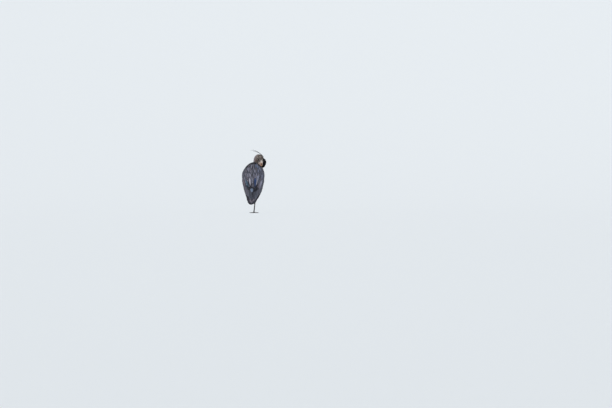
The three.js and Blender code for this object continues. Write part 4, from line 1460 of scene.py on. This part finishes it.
def build_tail():
    """The tail feathers, the feathers round their roots, and the short ones between the wing tips."""
    coat = Coat("coat_tail", unwrap_body)
    x, z = (TAIL_LOW[0] + TAIL_HIGH[0]) / 2, TAIL_HIGH[2]
    firm = {"turn": 0.02, "camber": 0.1, "style": 1.0}
    # Two layers of tail feathers.
    for shift in np.linspace(-1, 1, 9):
        for forward in (0, 20 * MM):
            root_x = x + shift * 0.7 * (TAIL_HIGH[0] - x)
            root = np.array([[root_x, TAIL_LOW[1] + (20 * MM + forward), z - 2 * MM]])
            tip = np.array([[x + shift * 22 * MM, TAIL_LOW[1] + 4 * MM, TAIL_LOW[2] - 10 * MM]])
            coat.grow(torso, root, length=82, width=22, low=0.5, high=1.5, tint=DEEP_SLATE, edge=PALE_SLATE,
                      kind="quill", heading=unit(tip - root), across=BROAD, uneven=0.04, **firm)
    # Small feathers over the cores of the tail and of the wing tips.
    places, corner = scatter(torso, is_node("tail", "primaries"), 6.5)
    tint, edge = body_colours(places, torso.frame[corner, :3], torso.node[corner])
    coat.grow(torso, places, length=22, width=10, low=-0.3, high=1.0, tint=tint, edge=edge, turn=0.08,
              style=0.6)
    # The blue-grey patch on the right, under the scapulars.
    roots = body_root(247 + 3 * chance.normal(size=9), np.linspace(-22, -5, 9))
    coat.grow(torso, roots, length=40, width=12, low=3.6, high=5.6, tint=BLUE_GREY * 0.85,
              edge=PALE_SLATE, kind="lance", turn=0.06, across=BROAD, style=0.7)
    # Feathers along the seam between the wings, near black as painted shade in the seam.
    for height in (232, 204, 180):
        roots = body_root(height + 3 * chance.normal(size=4), np.linspace(-9, -2, 4))
        heading = unit(np.array([MIDDLE_X - 15 * MM, TAIL_LOW[1] - 8 * MM, TAIL_LOW[2] + 30 * MM]) - roots)
        dark = blend(SHADOW_SLATE, LOWER_SLATE * 0.7, chance.random(4))
        coat.grow(torso, roots, length=58, width=9, low=2.6, high=3.8, tint=dark, edge=FLIGHT_EDGE,
                  kind="quill", heading=heading, across=BROAD, **firm)
    # Pinkish feathers that hang over the wing tips in a V.
    count = 11
    across_tip = np.linspace(-1, 1, count)
    level = (146 - 14 * (1 - across_tip**2) + 2 * chance.normal(size=count)) * MM
    behind = np.full(count, TAIL_LOW[1] - 30 * MM)
    roots = torso.nearest(np.stack([x - 4 * MM + 25 * MM * across_tip, behind, level], 1))[0]
    heading = unit(np.array([MIDDLE_X - 20 * MM, TAIL_LOW[1] - 8 * MM, TAIL_LOW[2] + 2 * MM]) - roots)
    shade = PINK_SLATE * 0.95 * spread(count, 0.3)[:, None]
    coat.grow(torso, roots, length=36, width=12, low=5.6, high=7.0, tint=shade, edge=PALE_SLATE,
              kind="primary", heading=heading, across=BROAD, uneven=0.08, **firm)
    coat.build(plume_flight, "flight_feathers", "tail")


def ribbon(coat, line, width, tint, edge):
    """One vane along a given line, with its face to the back."""
    steps = (0, *KINDS["plume"][0], 1)
    reach = np.append(0, np.cumsum(np.linalg.norm(np.diff(line, axis=0), axis=1)))
    reach /= reach[-1]
    spine = np.stack([np.interp(steps, reach, line[:, i]) for i in range(3)], 1)
    way = unit(np.gradient(spine, axis=0))
    back = np.array([0.0, -1.0, 0.0])
    normal = unit(back - way * dot(way, back)[:, None])
    side = np.cross(way, normal)
    coat.add(spine[None], side[None], normal[None], np.array([width * MM]), "plume", camber=0.25,
             across=BROAD, tint=tint, edge=edge, style=1.0, roots=line[:1], rim_noise=0.03)


def build_crest_plumes():
    """The two long plumes of the crest, each of seven strands that end one after another."""
    for name in SIDES:
        node = f"crest_plume_{name}"
        coat = Coat(f"plume_{name}", unwrap_head)
        line = plume_line(node)[::-1]
        for strand in range(7):
            offset = chance.normal(size=3) * (0.5, 0.8, 0.8) * MM
            grown = line + offset * np.linspace(0.3, 1, len(line))[:, None]
            keep = max(3, int(len(line) * (1 - 0.08 * strand)))
            ribbon(coat, grown[:keep], 3.1 - 0.3 * strand, BLACK, BLACK_EDGE)
        coat.build(plume_glossy, "black_plumes", node)


def build_breast_plumes():
    """Long narrow plumes hanging from the foot of the neck, white with some black streaks."""
    coat = Coat("plumes_breast", unwrap_body)
    verts, tris, _ = node_arrays(["breast_plumes"])
    core = voxelled(verts, tris, 2.2 * MM)
    core.co = core.smooth(core.co, 6)
    core = sunk(core, np.full(len(core.co), 2.2 * MM), 2.0 * MM, 4)
    core.lay(np.broadcast_to([-0.05, -0.25, -1.0], core.co.shape), 2)
    dark_share = 0.07
    places, _ = scatter(core, np.ones(len(core.faces), bool), 4.6)
    height = places[:, 2] / MM
    length = np.minimum(78, 30 + 0.5 * (height - 318)) * spread(len(places), 0.2)
    dark = (chance.random(len(places)) < dark_share) & (height > 400)
    white = np.broadcast_to(WHITE, places.shape)
    tint, edge = blend(white, BLACK, dark), blend(white, BLACK_EDGE, dark)
    coat.grow(core, places, length, width=4.4, low=0.2, high=2.4, tint=tint, edge=edge, kind="lance",
              turn=0.06, camber=0.2, style=0.6, cling=0.7)
    x, y, z = face_middles(torso).T / MM
    foot = is_node("neck_lower", "trunk") & (z > 395) & (z < 478) & (y > 95)
    places, _ = scatter(torso, foot & (np.abs(x - MIDDLE_X / MM) < 52), 4.0)
    dark = chance.random(len(places)) < dark_share
    tint = blend(np.broadcast_to(WHITE, places.shape), BLACK, dark) * spread(len(places), 0.1)[:, None]
    down = np.broadcast_to([0.0, -0.12, -1.0], places.shape)
    length = 52 + 36 * chance.random(len(places))
    coat.grow(torso, places, length, width=2.5, low=0.6, high=5.0, tint=tint, edge=tint, kind="lance",
              heading=down, turn=0.05, camber=0.2, style=0.6, cling=0.38)
    coat.build(plume_soft, "white_plumage", "breast_plumes")


# ---- studio ----

METRES_ACROSS = 6.12  # what the view spans at the bird
CAMERA_AWAY = 25.0
FOOT_LEFT = 0.52  # how far left of the middle of the view the foot stands
FOOT_BELOW = 0.09  # and how far below it
FLOOR_FLAT = 9.0  # where the floor starts to rise into the backdrop, except under the camera
FLOOR_REACH = 30.9
FLOOR_RISE = 5.2
SKY = (0.93, 0.96, 1.0, 1)
SKY_STRENGTH = 0.84
SUN_STRENGTH = 0.9
SUN_WIDTH = math.radians(45)
SUN_TILT = (math.radians(32), math.radians(-24), 0)  # from straight above
FLOOR_AROUND = 96  # points in each ring of the floor
FLOOR_FLAT_RINGS = 5
FLOOR_RISING_RINGS = 33


def build_studio():
    """A camera far off, a pale floor that rises into a backdrop, an even sky and a soft sun."""
    scene = bpy.context.scene
    camera = bpy.data.objects.new("camera", bpy.data.cameras.new("camera"))
    camera.data.lens = camera.data.sensor_width * CAMERA_AWAY / METRES_ACROSS
    camera.location = (FOOT_LEFT, -CAMERA_AWAY, FOOT_BELOW)
    camera.rotation_euler = (math.pi / 2, 0, 0)
    camera.data.clip_end = 40 * CAMERA_AWAY
    scene.collection.objects.link(camera)
    scene.camera = camera
    turn = np.linspace(0, 2 * math.pi, FLOOR_AROUND, endpoint=False)
    flat = FLOOR_FLAT + (CAMERA_AWAY + 0.6 - FLOOR_FLAT) * ease(0.3, 0.95, -np.sin(turn))
    level = flat * np.linspace(0.1, 0.9, FLOOR_FLAT_RINGS)[:, None]
    share = np.linspace(0, 1, FLOOR_RISING_RINGS)[:, None]
    radii = np.concatenate([level, flat + (FLOOR_REACH - flat) * share])
    rises = np.concatenate([0 * level, FLOOR_RISE * share**2 + 0 * turn])
    rings = np.stack([radii * np.cos(turn), radii * np.sin(turn), rises], 2)
    co = np.concatenate([rings.reshape(-1, 3), [(0, 0, 0)]])
    quads = ring_faces(len(radii), len(turn))[:, ::-1]
    j = np.arange(len(turn))
    middle = np.stack([j, (j + 1) % len(turn), j * 0 + len(co) - 1], 1)
    floor = object_from("floor", co, np.concatenate([quads[:, [0, 1, 2]], quads[:, [0, 2, 3]], middle]))
    shader = Shader("studio_paper", 0.9, Specular_IOR_Level=0.1)
    floor.data.materials.append(shader.finish((*BACKDROP, 1)))
    world = bpy.data.worlds.new("overcast")
    world.use_nodes = True
    world.node_tree.nodes["Background"].inputs["Color"].default_value = SKY
    world.node_tree.nodes["Background"].inputs["Strength"].default_value = SKY_STRENGTH
    scene.world = world
    scene.view_settings.view_transform = "Standard"
    sun = bpy.data.objects.new("soft_light", bpy.data.lights.new("soft_light", "SUN"))
    sun.data.energy = SUN_STRENGTH
    sun.data.angle = SUN_WIDTH
    sun.rotation_euler = SUN_TILT
    scene.collection.objects.link(sun)


# ---- everything ----

torso = torso_skin()
head = head_skin()
legs = {side: leg_skin(side) for side in SIDES}
plume = plume_material("plume_grey")
plume_fine = plume_material("plume_face", roughness=0.78, shaft=0.0, mottle=0.25, painted_root_shade=0.8)
plume_soft = plume_material("plume_soft", roughness=0.8, sheen=0.075, shaft=0.1, mottle=0.4)
plume_flight = plume_material("plume_flight", roughness=0.58, sheen=0.025, fringe_from=0.7, shaft=0.5,
                              mottle=0.35, painted_root_shade=0.3)
plume_glossy = plume_material("plume_black", roughness=0.42, sheen=0.025, shaft=0.2, mottle=0.5)
build_skin(torso, head, legs)
lid_skin, eye_glass = bare_material(), eye_material()
bill_horn, claw_horn = horn_material("bill_horn", 0.38), horn_material("claw_horn", 0.35)
for name, sign in SIDES.items():
    build_eye(name, sign, eye_glass)
    build_lids(name, sign, lid_skin)
    build_claws(name, claw_horn)
for upper in (True, False):
    build_bill(upper, bill_horn)
coat_head()
coat_crest()
build_small_coats()
for name, sign in SIDES.items():
    build_flight(name, sign)
    build_scapulars(name, sign)
build_tail()
build_crest_plumes()
build_breast_plumes()
build_studio()
